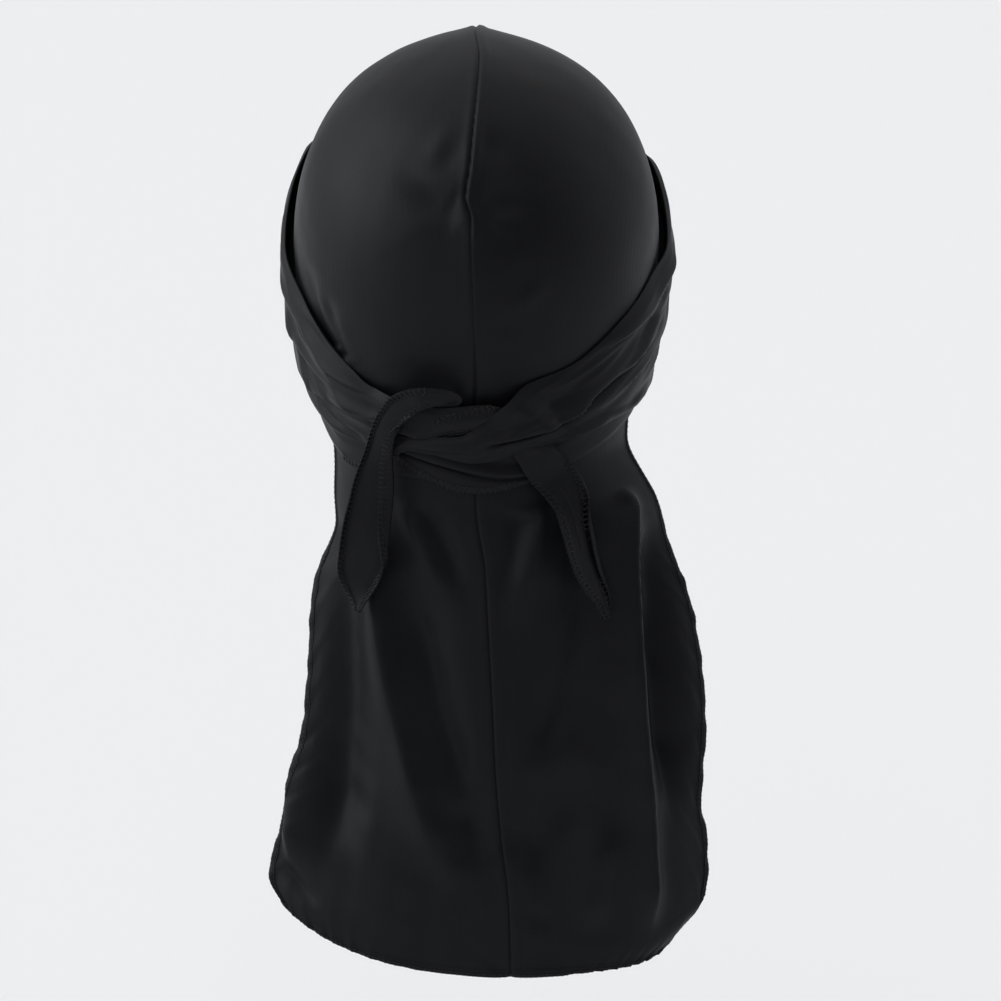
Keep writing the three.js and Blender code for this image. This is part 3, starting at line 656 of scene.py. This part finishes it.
def strap_table(round_, knot, heading):
    """Both tables as sections: middle (azimuth, height), width vector, standoff, curl and roll."""
    sign = 1 if heading > 0 else -1
    out = [
        [math.radians(t), (a + b) / 2, 0, sign * (b - a), layer_off(layer), layer, 0, 0, 0.2, 0.2]
        for t, a, b, layer in zip(round_["turn"], round_["top"], round_["low"], round_["layer"])
    ]
    for i in range(len(knot["x"])):
        x, z, across, wide, layer = (knot[c][i] for c in ("x", "z", "across", "wide", "layer"))
        turn = turn_at(x, z)
        p = head_at(turn, np.array(z))
        for _ in range(6):
            turn = turn_at(x - layer_off(layer) * float(head_normal(p)[0]), z)
            p = head_at(turn, np.array(z))
        scale = math.hypot(p[0], p[1])
        out.append([
            sign * 2 * math.pi + turn, z, math.cos(math.radians(across)) * wide / scale,
            math.sin(math.radians(across)) * wide, layer_off(layer), layer,
            math.radians(knot["first"][i]), math.radians(knot["second"][i]), knot["ftake"][i], knot["stake"][i],
        ])
    return np.array(out)


def knot_cover(x, z):
    """1 where the left strap's part in the knot lies, falling to 0 over 10 mm beside it."""
    k = np.arange(8)
    fine = np.linspace(0, 6, 73)
    cx, cz, wide = (along(k, LEFT_STRAP_KNOT[c][:8], fine) for c in ("x", "z", "wide"))
    best = np.full(x.shape, 1e9)
    for i in range(len(fine)):
        best = np.minimum(best, np.hypot(x - cx[i], z - cz[i]) - wide[i] / 2)
    return smooth((11 - best) / 10)


def knot_front(x, z):
    """1 well under the right strap's pass over the front of the knot, 0 at its edges."""
    k = np.arange(6)
    fine = np.linspace(0, 5, 61)
    cx, cz, wide = (along(k, RIGHT_STRAP_KNOT[c][:6], fine) for c in ("x", "z", "wide"))
    best = np.full(x.shape, 1e9)
    for i in range(len(fine)):
        best = np.minimum(best, np.hypot(x - cx[i], z - cz[i]) - wide[i] / 2)
    return smooth((-0.5 - best) / 2.5)


def settled(degrees, x, z, off, before_knot, over_knot):
    """The last pass lies on whatever is under it: the first passes, the knot, or the panel."""
    turn = (degrees + 180) % 360 - 180
    under = np.zeros(z.shape)
    for table in (LEFT_STRAP_ROUND, RIGHT_STRAP_ROUND):
        keep = np.abs(table["turn"]) <= 92
        order = np.argsort(table["turn"][keep])
        get = lambda c: along(table["turn"][keep][order], table[c][keep][order], turn)
        cover = smooth((get("top") + 5 - z) / 5) * smooth((z - get("low") + 5) / 5)
        under = np.maximum(under, get("layer") * cover)
    if over_knot:
        under = np.maximum(under, 4 * knot_cover(x, z))
    low = layer_off(1 + under)
    near = smooth((78 - np.abs(turn)) / 20) * smooth(before_knot / 12) * (np.abs(degrees) > 200)
    if over_knot:
        near = near * np.maximum(smooth((z + 154) / 10), smooth((np.abs(turn) - 30) / 10))
    return off - near * np.maximum(off - low, 0)


def strap_surface(name, round_, knot, heading, step_round, step_knot, columns):
    table = strap_table(round_, knot, heading)
    middle = head_at(table[:, 0], table[:, 1])
    middle = middle + head_normal(middle) * table[:, 4:5]
    keys = np.concatenate([[0], np.cumsum(np.linalg.norm(np.diff(middle, axis=0), axis=1))])
    knot_from = keys[len(round_["turn"]) - 1]
    last_laid = keys[len(round_["turn"]) + (2 if heading > 0 else 0)]
    s = np.concatenate([
        np.linspace(0, knot_from, int(knot_from / step_round), endpoint=False),
        np.linspace(knot_from, keys[-1], int((keys[-1] - knot_from) / step_knot)),
    ])
    v = np.stack([along(keys, table[:, c], s) for c in range(10)], -1)
    t = 0.5 * np.sin(np.linspace(-1, 1, columns) * math.pi / 2 * 0.72) / math.sin(math.pi / 2 * 0.72)
    wide = np.hypot(v[:, 3], v[:, 2] * 80)[:, None]
    # the section: flat in the middle, its edges turned outward where a free end curls
    fine = np.linspace(-0.5, 0.5, 401)[None, :]
    first = v[:, 6:7] * smooth((-fine - 0.5 + v[:, 8:9]) / v[:, 8:9] * 1.25)
    second = v[:, 7:8] * smooth((fine - 0.5 + v[:, 9:10]) / v[:, 9:10] * 1.25)
    bend = second - first
    step = 1 / 400
    cx = np.cumsum(np.cos(bend), 1) * step
    ch = np.cumsum(np.sin(bend), 1) * step
    cx = cx - cx[:, 200:201]
    ch = ch - ch[:, 200:201]
    middle_x = (cx.max(1, keepdims=True) + cx.min(1, keepdims=True)) / 2
    cx = cx - middle_x * smooth(np.abs(v[:, 6:7]) + np.abs(v[:, 7:8]))
    flat_t = np.stack([np.interp(t, fine[0], row) for row in cx])
    lift_t = np.stack([np.interp(t, fine[0], row) for row in ch]) * wide
    turn = v[:, 0:1] + v[:, 2:3] * flat_t
    z = v[:, 1:2] + v[:, 3:4] * flat_t
    t = t[None, :]
    layer = v[:, 5:6] + 0 * t
    p0 = head_at(turn, z)
    n0 = head_normal(p0)

    edge = (0.5 - np.abs(t)) * wide + 0 * turn  # distance from the nearer edge
    shown = smooth((layer - 2.2) / 0.8)
    high = np.zeros(turn.shape)
    # both edges turn toward the head
    high -= 0.42 * (1 - smooth(edge / 2.6)) * smooth(wide / 8)
    high += 1.5 * shown * np.sin(math.pi * np.clip(edge / 6, 0, 1) / 2) * smooth(wide / 12)
    # lengthwise gathers, stronger where the strap is narrow
    across = (t * wide) + 0 * turn
    run = s[:, None] + 0 * t
    gather = np.stack([run / 5.5, across, 0 * run], -1)
    high += (0.12 + 0.34 * shown) * ripples(gather, 9, 7, 11 if heading > 0 else 12) * smooth(edge / 3)
    sharp = ripples(gather, 6, 6, 13 if heading > 0 else 14)
    high += (0.10 + 0.30 * shown) * (0.6 - np.abs(sharp)) * smooth(edge / 3) * smooth(wide / 14)
    degrees = np.degrees(turn)
    for line in PLEATS[name].values():
        order = np.argsort(line["turn"])
        keyed = {c: line[c][order] for c in ("turn", "z", "high", "lobe")}
        inside = (degrees > keyed["turn"][0]) & (degrees < keyed["turn"][-1])
        line_z = along(keyed["turn"], keyed["z"], degrees)
        lift = along(keyed["turn"], keyed["high"], degrees)
        lobe = along(keyed["turn"], keyed["lobe"], degrees)
        above = z - line_z
        shape = np.where(above > 0, smooth(above / 0.9) * (1 - smooth((above - 1.2) / lobe)), 0.0)
        dip = -np.minimum(0.75 * lift, 1.4) * np.exp(-((np.abs(above + 0.4) / 0.9) ** 1.5))
        high += np.where(inside, 1.1 * lift * shape + dip * smooth(edge / 3), 0)
    # what lies under another pass in the knot is pressed flat
    covered = smooth((3.9 - layer) / 0.6) if heading > 0 else knot_front(p0[..., 0], z)
    high = high * (1 - 0.85 * covered * smooth((s - knot_from) / 4)[:, None])
    ease = 1 - smooth((np.abs(v[:, 6:7]) + np.abs(v[:, 7:8])) / 0.8)
    slope = (0.62 if heading > 0 else -0.3) * smooth((s - s[-1] + (74 if heading > 0 else 52)) / 24) * smooth((s[-1] - s) / 14)
    high = high * (0.25 + 0.75 * ease) + lift_t + slope[:, None] * flat_t * wide
    p = p0 + n0 * (settled(degrees, p0[..., 0], z, v[:, 4:5] + 0 * z, (last_laid - s)[:, None], heading > 0) + high)[..., None]
    ds, dt = np.gradient(p, axis=0), np.gradient(p, axis=1)
    n = unit(np.cross(ds, dt))
    return p, n, s, edge, across


# ---------------------------------------------------------------- meshes
def to_metres(p):
    q = np.array(p, float).reshape(-1, 3).copy()
    q[:, 2] += TABLE_ZERO
    return q / 1000.0


def new_mesh(name, points, faces, uv=None, smooth_shade=True):
    """points in table millimetres, faces as an (n, 3) or (n, 4) array."""
    mesh = bpy.data.meshes.new(name)
    faces = np.asarray(faces, np.int32)
    k = faces.shape[1]
    mesh.vertices.add(len(points))
    mesh.vertices.foreach_set("co", to_metres(points).astype(np.float32).ravel())
    mesh.loops.add(faces.size)
    mesh.loops.foreach_set("vertex_index", faces.ravel())
    mesh.polygons.add(len(faces))
    mesh.polygons.foreach_set("loop_start", np.arange(0, faces.size, k, dtype=np.int32))
    mesh.polygons.foreach_set("loop_total", np.full(len(faces), k, np.int32))
    mesh.polygons.foreach_set("use_smooth", np.full(len(faces), smooth_shade))
    if uv is not None:
        layer = mesh.uv_layers.new(name="cloth")
        layer.data.foreach_set("uv", np.asarray(uv, np.float32)[faces.ravel()].ravel())
    mesh.update(calc_edges=True)
    mesh.validate()
    piece = bpy.data.objects.new(name, mesh)
    bpy.context.scene.collection.objects.link(piece)
    return piece


def closed_sheet(name, outer, inner, uv):
    """A sheet with two faces, joined along its border. outer and inner are (rows, columns, 3)."""
    r, c = outer.shape[:2]
    index = np.arange(r * c).reshape(r, c)
    a, b, d, e = index[:-1, :-1], index[:-1, 1:], index[1:, 1:], index[1:, :-1]
    top = np.stack([a, b, d, e], -1).reshape(-1, 4)
    low = top[:, ::-1] + r * c
    border = np.concatenate([index[0, :], index[1:, -1], index[-1, -2::-1], index[-2:0:-1, 0]])
    after = np.roll(border, -1)
    wall = np.stack([after, border, border + r * c, after + r * c], -1)
    faces = np.concatenate([top, low, wall])
    points = np.concatenate([outer.reshape(-1, 3), inner.reshape(-1, 3)])
    tri = points[top[:, [0, 1, 2]]]
    return new_mesh(name, points, faces, np.concatenate([uv.reshape(-1, 2)] * 2))


def tubes(name, paths, radius, sides=4):
    """Many short threads as one mesh. paths is a list of (n, 3) arrays."""
    points, faces, start = [], [], 0
    ring_angles = np.arange(sides) * 2 * math.pi / sides
    for path in paths:
        path = np.asarray(path, float)
        k = len(path)
        tangent = unit(np.gradient(path, axis=0))
        ref = np.where(np.abs(tangent[:, 2:3]) < 0.9, np.array([[0.0, 0.0, 1.0]]), np.array([[1.0, 0.0, 0.0]]))
        a = unit(np.cross(tangent, ref))
        b = np.cross(tangent, a)
        rad = np.full(k, radius)
        circle = path[:, None] + (a[:, None] * np.cos(ring_angles)[None, :, None] + b[:, None] * np.sin(ring_angles)[None, :, None]) * rad[:, None, None]
        points.append(circle.reshape(-1, 3))
        i = np.arange(k - 1)[:, None] * sides
        j = np.arange(sides)[None, :]
        jn = (j + 1) % sides
        quads = np.stack([i + j, i + jn, i + sides + jn, i + sides + j], -1).reshape(-1, 4) + start
        faces.append(quads)
        if sides == 4:
            faces.append(np.array([[3, 2, 1, 0]]) + start)
            faces.append(np.array([[0, 1, 2, 3]]) + start + (k - 1) * sides)
        start += k * sides
    return new_mesh(name, np.concatenate(points), np.concatenate(faces))


def resample(line, pitch, *others):
    """Points every pitch along a line, with the same places of other arrays."""
    run = np.concatenate([[0], np.cumsum(np.linalg.norm(np.diff(line, axis=0), axis=1))])
    count = max(2, int(run[-1] / pitch))
    at = np.linspace(0, run[-1], count)
    pick = lambda a: np.stack([np.interp(at, run, a[:, c]) for c in range(a.shape[1])], -1)
    return [pick(line)] + [pick(a) for a in others]


def overlock(edge, inner, normal, inner_normal, pitch, lift, thick, seed, faces=(1, -1)):
    """The thread of an overlocked edge: edge and inner are lines on the sheet's outer face."""
    rng = np.random.default_rng(seed)
    e, f, n, m = resample(edge, pitch, inner, normal, inner_normal)
    n, m = unit(n), unit(m)
    d = unit(f - e)
    vary = 1 + rng.uniform(-0.08, 0.08, len(e))[:, None]
    f = e + (f - e) * vary
    paths = []
    for face in faces:
        te = n * (lift if face > 0 else -(thick + lift))
        tf = m * (lift if face > 0 else -(thick + lift))
        out = e - d * 0.2 - n * (thick / 2)
        share = 0.42 if face > 0 else 0.6
        for k in range(len(e) - 1):
            a = f[k] + (f[k + 1] - f[k]) * share + tf[k]
            half = (e[k] + f[k]) / 2 + (te[k] + tf[k]) * 0.6
            half_next = (e[k + 1] + f[k + 1]) / 2 + (te[k + 1] + tf[k + 1]) * 0.6
            paths.append([out[k], e[k] + te[k] - d[k] * 0.05, half, a])
            if face > 0:
                paths.append([a, a + (f[k + 1] - f[k]) * 0.45 + tf[k] * 0.4, a + (f[k + 1] - f[k]) * 0.8])
            paths.append([a, half_next, e[k + 1] + te[k + 1] - d[k + 1] * 0.05, out[k + 1]])
    return paths


def run_stitch(line, normal, pitch, share, lift):
    """A row of straight stitches on a surface."""
    q, n = resample(line, pitch, normal)
    n = unit(n)
    paths = []
    for k in range(len(q) - 1):
        b = q[k] + (q[k + 1] - q[k]) * share
        m = (q[k] + b) / 2
        paths.append([q[k] - n[k] * 0.15, q[k] + (b - q[k]) * 0.15 + n[k] * lift, m + n[k] * lift * 1.3, q[k] + (b - q[k]) * 0.85 + n[k] * lift, b - n[k] * 0.15])
    return paths


# ---------------------------------------------------------------- materials
def material(name):
    m = bpy.data.materials.new(name)
    m.use_nodes = True
    tree = m.node_tree
    shader = tree.nodes["Principled BSDF"]
    return m, tree, shader


def node(tree, kind, inputs=None, **settings):
    made = tree.nodes.new(kind)
    for key, value in settings.items():
        setattr(made, key, value)
    for key, value in (inputs or {}).items():
        made.inputs[key].default_value = value
    return made


def satin(name, dark, light, rough):
    """Black stretch satin: a fine knit, a soft sheen, slightly uneven dye and brushed places."""
    m, tree, shader = material(name)
    link = tree.links.new
    uv = node(tree, "ShaderNodeUVMap", uv_map="cloth")
    where = node(tree, "ShaderNodeTexCoord")
    # dye and pile, uneven over a few centimetres and over a few millimetres
    cloud = node(tree, "ShaderNodeTexNoise", {"Scale": 26.0, "Detail": 4.0, "Roughness": 0.55})
    link(where.outputs["Object"], cloud.inputs["Vector"])
    grain = node(tree, "ShaderNodeTexNoise", {"Scale": 900.0, "Detail": 3.0, "Roughness": 0.6})
    link(where.outputs["Object"], grain.inputs["Vector"])
    both = node(tree, "ShaderNodeMath", operation="MULTIPLY_ADD")
    both.inputs[1].default_value = 0.35
    link(grain.outputs["Fac"], both.inputs[0])
    link(cloud.outputs["Fac"], both.inputs[2])
    tint = node(tree, "ShaderNodeValToRGB")
    tint.color_ramp.elements[0].position = 0.42
    tint.color_ramp.elements[0].color = (*dark, 1)
    tint.color_ramp.elements[1].position = 0.92
    tint.color_ramp.elements[1].color = (*light, 1)
    link(both.outputs[0], tint.inputs["Fac"])
    link(tint.outputs["Color"], shader.inputs["Base Color"])
    # roughness
    gloss = node(tree, "ShaderNodeMapRange", {"From Min": 0.3, "From Max": 0.75, "To Min": rough - 0.05, "To Max": rough + 0.05})
    link(cloud.outputs["Fac"], gloss.inputs["Value"])
    link(gloss.outputs["Result"], shader.inputs["Roughness"])
    # the knit: wales of 0.55 mm along the cloth, courses of 0.45 mm across
    wales = node(tree, "ShaderNodeTexWave", {"Scale": 1000 / 0.55 / 20.0 * 6.28318 / 6.28318, "Distortion": 0.6, "Detail": 1.0, "Detail Scale": 2.0}, wave_type="BANDS", bands_direction="X", wave_profile="SIN")
    courses = node(tree, "ShaderNodeTexWave", {"Scale": 1000 / 0.45 / 20.0, "Distortion": 0.6, "Detail": 1.0, "Detail Scale": 2.0}, wave_type="BANDS", bands_direction="Y", wave_profile="SIN")
    link(uv.outputs["UV"], wales.inputs["Vector"])
    link(uv.outputs["UV"], courses.inputs["Vector"])
    knit = node(tree, "ShaderNodeMath", operation="MULTIPLY_ADD")
    knit.inputs[1].default_value = 0.45
    link(courses.outputs["Fac"], knit.inputs[0])
    link(wales.outputs["Fac"], knit.inputs[2])
    fuzz = node(tree, "ShaderNodeMath", operation="MULTIPLY_ADD")
    fuzz.inputs[1].default_value = 0.9
    link(grain.outputs["Fac"], fuzz.inputs[0])
    link(knit.outputs[0], fuzz.inputs[2])
    bump = node(tree, "ShaderNodeBump", {"Strength": 0.12, "Distance": 0.0001})
    link(fuzz.outputs[0], bump.inputs["Height"])
    link(bump.outputs["Normal"], shader.inputs["Normal"])
    shader.inputs["Specular IOR Level"].default_value = 0.11
    shader.inputs["Sheen Weight"].default_value = 0.05
    shader.inputs["Sheen Roughness"].default_value = 0.22
    shader.inputs["Sheen Tint"].default_value = (0.80, 0.86, 1.0, 1)
    return m


def thread_material(name, dark, light):
    m, tree, shader = material(name)
    link = tree.links.new
    where = node(tree, "ShaderNodeTexCoord")
    ply = node(tree, "ShaderNodeTexNoise", {"Scale": 1500.0, "Detail": 2.0})
    link(where.outputs["Object"], ply.inputs["Vector"])
    tint = node(tree, "ShaderNodeValToRGB")
    tint.color_ramp.elements[0].position = 0.3
    tint.color_ramp.elements[0].color = (*dark, 1)
    tint.color_ramp.elements[1].position = 0.7
    tint.color_ramp.elements[1].color = (*light, 1)
    link(ply.outputs["Fac"], tint.inputs["Fac"])
    link(tint.outputs["Color"], shader.inputs["Base Color"])
    bump = node(tree, "ShaderNodeBump", {"Strength": 0.3, "Distance": 0.0001})
    link(ply.outputs["Fac"], bump.inputs["Height"])
    link(bump.outputs["Normal"], shader.inputs["Normal"])
    shader.inputs["Roughness"].default_value = 0.5
    shader.inputs["Specular IOR Level"].default_value = 0.2
    shader.inputs["Sheen Weight"].default_value = 0.06
    shader.inputs["Sheen Tint"].default_value = (0.85, 0.9, 1.0, 1)
    return m


PANEL_SATIN = satin("panel_satin", (0.0040, 0.0042, 0.0052), (0.0066, 0.0069, 0.0086), 0.50)
STRAP_SATIN = satin("strap_satin", (0.0044, 0.0045, 0.0053), (0.0074, 0.0076, 0.0092), 0.50)
THREAD = thread_material("thread", (0.004, 0.004, 0.005), (0.011, 0.011, 0.013))


# ---------------------------------------------------------------- pieces
def settle(piece, mat):
    piece.data.materials.append(mat)
    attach(piece, "root")
    return piece


SEAM_TURN = 2.6
panels = {}
for side, name in ((LEFT, "left_panel"), (RIGHT, "right_panel")):
    outer, n, free, down, from_seam = panel_surface(side)
    inner = outer - n * CLOTH
    # the seam allowance turned in along the centre
    n0 = n[:, 0].copy()
    n0[:, 0] = 0
    n0 = unit(n0)
    lip = outer[:, 0] - n0 * (SEAM_TURN + CLOTH)
    lip_in = lip.copy()
    lip_in[:, 0] += side * CLOTH
    corner = outer[:, 0] - n0 * CLOTH
    corner[:, 0] += side * CLOTH
    inner[:, 0] = corner
    close = inner[:, 1:4]
    inside_x = side * (close[..., 0] - corner[:, None, 0])
    shift = np.where(inside_x < 0, -inside_x + 0.02, 0)
    inner[:, 1:4, 0] += side * shift
    outer2 = np.concatenate([lip[:, None], outer], 1)
    inner2 = np.concatenate([lip_in[:, None], inner], 1)
    uv = np.stack([side * np.concatenate([-np.full((PANEL_ROWS, 1), SEAM_TURN), from_seam], 1), np.concatenate([down[:, :1], down[:, :1] + 0 * down], 1)], -1) / 1000
    if side == LEFT:
        outer2, inner2, uv = outer2[:, ::-1], inner2[:, ::-1], uv[:, ::-1]
    piece = closed_sheet(name + "_cloth", outer2, inner2, uv)
    settle(piece, PANEL_SATIN)
    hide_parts(name)
    panels[name] = (piece, outer, n)

# the thread that holds the two allowances together, deep in the centre seam
seam_line = (panels["left_panel"][1][:, 0] + panels["right_panel"][1][:, 0]) / 2
seam_in = panels["left_panel"][2][:, 0] + panels["right_panel"][2][:, 0]
seam_in[:, 0] = 0
seam_line = seam_line - unit(seam_in) * 1.5
seam_thread = tubes("centre_seam_thread", [resample(seam_line, 1.5)[0]], 0.35)
settle(seam_thread, THREAD)

straps = {}
KNOT_FROM, FREE_END = {}, {}
for name, round_, knot, heading in (
    ("left_strap", LEFT_STRAP_ROUND, LEFT_STRAP_KNOT, -1),
    ("right_strap", RIGHT_STRAP_ROUND, RIGHT_STRAP_KNOT, 1),
):
    p, n, s, edge, across = strap_surface(name, round_, knot, heading, 2.6, 0.9, 84)
    centre = p.mean(axis=(0, 1))
    outer, inner = p + n * CLOTH / 2, p - n * CLOTH / 2
    uv = np.stack([across, s[:, None] + 0 * across], -1) / 1000
    piece = closed_sheet(name + "_cloth", outer[:, ::-1], inner[:, ::-1], uv[:, ::-1])
    settle(piece, STRAP_SATIN)
    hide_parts(name)
    straps[name] = (piece, outer, n, s)
    sections = strap_table(round_, knot, heading)
    line = head_at(sections[:, 0], sections[:, 1])
    line = line + head_normal(line) * sections[:, 4:5]
    run = np.concatenate([[0], np.cumsum(np.linalg.norm(np.diff(line, axis=0), axis=1))])
    rounds = len(round_["turn"])
    KNOT_FROM[name] = run[rounds]
    FREE_END[name] = run[-1] - run[rounds + knot["row"].index("end_root" if "end_root" in knot["row"] else "end_top")]

def raw_edges(name, e, s, degrees):
    """Where along a strap an overlocked edge lies open and is not rolled under."""
    lower = (e == 0) == (name == "left_strap")
    left = name == "left_strap"
    way = -1 if left else 1
    turned = way * degrees
    at = lambda a: float(np.interp(a, turned, s))
    out = [(at(-128), at(-74)), (at(72), at(232))]
    if lower and left:
        out.append((at(-26), at(12)))
        out.append((KNOT_FROM[name] + 4, KNOT_FROM[name] + 44))
    if lower and not left:
        out.append((at(24), at(46)))
    out.append((s[-1] - FREE_END[name], s[-1]))
    return out


# overlocked edges
for k, (side, name) in enumerate(((LEFT, "left_panel"), (RIGHT, "right_panel"))):
    piece, outer, n = panels[name]
    paths = overlock(outer[:, -1], outer[:, -7], n[:, -2], n[:, -7], 2.1, 0.12, CLOTH, 20 + k)
    paths += overlock(outer[-1, 1:], outer[-3, 1:], n[-2, 1:], n[-3, 1:], 2.1, 0.12, CLOTH, 24 + k)
    thread = tubes(name + "_overlock", paths, 0.16)
    settle(thread, THREAD)
    panels[name] = (piece, outer, n, thread)
for k, name in enumerate(("left_strap", "right_strap")):
    piece, outer, n, s = straps[name]
    paths = []
    gap = np.linalg.norm(outer - outer[:, :1], axis=-1), np.linalg.norm(outer - outer[:, -1:], axis=-1)
    half = outer.shape[1] // 2
    in_from_edge = np.stack([
        np.argmin(np.abs(gap[0][:, :half] - 2.7), 1),
        outer.shape[1] - half + np.argmin(np.abs(gap[1][:, -half:] - 2.7), 1),
    ], 1)
    for j, e in enumerate((0, -1)):
        turns = np.unwrap(np.arctan2(outer[:, 42, 0], outer[:, 42, 1]))
        turns = np.degrees(turns)
        for a, b in raw_edges(name, e, s, turns):
            cut = (s >= a) & (s <= b)
            if cut.sum() > 3:
                i = in_from_edge[cut, j]
                r = np.arange(len(s))[cut]
                paths += overlock(outer[r, e], outer[r, i], n[r, e], n[r, i], 2.0, 0.10, CLOTH, 30 + 2 * k + j)
    if name == "left_strap":
        # its raw edge lies across the face of the strip, from the middle to the upper edge
        r = np.arange(len(s))[(s >= KNOT_FROM[name] + 4) & (s <= KNOT_FROM[name] + 46)]
        r = r[(outer[r, 42, 0] > -12) & (outer[r, 42, 0] < 17)]
        line = np.interp(outer[r, 42, 0], [-12, 17], [-139.2, -147.2])[:, None]
        low_column = np.argmin(np.abs(outer[r, :, 2] - line), 1)
        high_column = np.argmin(np.abs(outer[r, :, 2] - line - 2.6), 1)
        paths += overlock(outer[r, low_column], outer[r, high_column], n[r, low_column], n[r, high_column], 2.0, 0.16, 0.1, 60)
    for column, a, b in (
        ((30, KNOT_FROM[name] + 8, KNOT_FROM[name] + 46), (34, s[-1] - 64, s[-1] - 30))
        if name == "left_strap"
        else ((50, s[-1] - 44, s[-1] - 14),)
    ):
        cut = (s >= a) & (s <= b)
        paths += run_stitch(outer[cut, column], n[cut, column], 1.9, 0.72, 0.18)
    thread = tubes(name + "_overlock", paths, 0.15)
    settle(thread, THREAD)
    straps[name] = (piece, outer, n, s, thread)


for name in panels:
    piece, outer, n, thread = panels[name]
for name in straps:
    piece, outer, n, s, thread = straps[name]

# ---------------------------------------------------------------- stage, light, camera
scene = bpy.context.scene
floor_mesh = bpy.data.meshes.new("floor")
R = 60.0
floor_mesh.from_pydata([(-R, -R, 0), (R, -R, 0), (R, R, 0), (-R, R, 0)], [], [(0, 1, 2, 3)])
floor = bpy.data.objects.new("floor", floor_mesh)
floor.location = (0, 0, -0.62)
scene.collection.objects.link(floor)
pale, tree, shader = material("pale_floor")
noise = node(tree, "ShaderNodeTexNoise", {"Scale": 3.0, "Detail": 2.0})
ramp = node(tree, "ShaderNodeValToRGB")
ramp.color_ramp.elements[0].color = (0.77, 0.775, 0.785, 1)
ramp.color_ramp.elements[1].color = (0.81, 0.815, 0.825, 1)
tree.links.new(noise.outputs["Fac"], ramp.inputs["Fac"])
tree.links.new(ramp.outputs["Color"], shader.inputs["Base Color"])
shader.inputs["Roughness"].default_value = 0.9
shader.inputs["Specular IOR Level"].default_value = 0.1
floor_mesh.materials.append(pale)

world = bpy.data.worlds.new("studio")
scene.world = world
world.use_nodes = True
wt = world.node_tree
wt.nodes.clear()
coord = node(wt, "ShaderNodeTexCoord")
split = node(wt, "ShaderNodeSeparateXYZ")
wt.links.new(coord.outputs["Generated"], split.inputs["Vector"])
sky = node(wt, "ShaderNodeValToRGB")
sky.color_ramp.elements[0].position = 0.0
sky.color_ramp.elements[0].color = (0.30, 0.31, 0.33, 1)
sky.color_ramp.elements[1].position = 1.0
sky.color_ramp.elements[1].color = (1.0, 1.0, 1.0, 1)
lift_node = node(wt, "ShaderNodeMapRange", {"From Min": -0.3, "From Max": 1.0, "To Min": 0.0, "To Max": 1.0})
wt.links.new(split.outputs["Z"], lift_node.inputs["Value"])
wt.links.new(lift_node.outputs["Result"], sky.inputs["Fac"])
shade = node(wt, "ShaderNodeMapRange", {"From Min": -0.1, "From Max": 0.8, "To Min": 1.0, "To Max": 0.16}, interpolation_type="SMOOTHSTEP")
wt.links.new(split.outputs["Y"], shade.inputs["Value"])
strength = node(wt, "ShaderNodeMath", operation="MULTIPLY")
strength.inputs[1].default_value = 0.9
wt.links.new(shade.outputs["Result"], strength.inputs[0])
light_bg = node(wt, "ShaderNodeBackground")
wt.links.new(strength.outputs[0], light_bg.inputs["Strength"])
wt.links.new(sky.outputs["Color"], light_bg.inputs["Color"])
seen_bg = node(wt, "ShaderNodeBackground", {"Color": (0.848, 0.859, 0.875, 1), "Strength": 1.0})
path = node(wt, "ShaderNodeLightPath")
mix = node(wt, "ShaderNodeMixShader")
out = node(wt, "ShaderNodeOutputWorld")
wt.links.new(path.outputs["Is Camera Ray"], mix.inputs["Fac"])
wt.links.new(light_bg.outputs["Background"], mix.inputs[1])
wt.links.new(seen_bg.outputs["Background"], mix.inputs[2])
wt.links.new(mix.outputs["Shader"], out.inputs["Surface"])


def soft_light(name, toward, strength, angle, colour=(1, 1, 1)):
    """Light from a wide, far panel in one direction."""
    data = bpy.data.lights.new(name, "SUN")
    data.energy = strength
    data.angle = math.radians(angle)
    data.color = colour
    lamp = bpy.data.objects.new(name, data)
    lamp.rotation_euler = Vector(toward).to_track_quat("Z", "Y").to_euler()
    scene.collection.objects.link(lamp)
    return lamp


soft_light("light_left", (1.0, 0.05, 0.5), 2.4, 60, (0.97, 0.985, 1.0))
soft_light("light_right", (-1.0, 0.0, 0.45), 0.26, 60, (0.97, 0.985, 1.0))
soft_light("light_top", (0.15, 0.1, 1.0), 0.2, 60)
soft_light("light_back", (0.25, 0.9, 0.8), 0.42, 50)

camera_data = bpy.data.cameras.new("camera")
camera = bpy.data.objects.new("camera", camera_data)
scene.collection.objects.link(camera)
camera.location = (-0.010, 1.050, 0.0643)
aim = Vector((-0.010, 0.0, -0.1957))
camera.rotation_euler = (aim - camera.location).to_track_quat("-Z", "Y").to_euler()
camera_data.sensor_fit = "HORIZONTAL"
camera_data.sensor_width = 36.0
camera_data.lens = 2510.0 / 1001.0 * 36.0
camera_data.clip_start = 0.05
camera_data.clip_end = 40.0
scene.camera = camera

scene.view_settings.view_transform = "Standard"
scene.view_settings.look = "None"
scene.view_settings.exposure = 0.0
scene.view_settings.gamma = 1.0
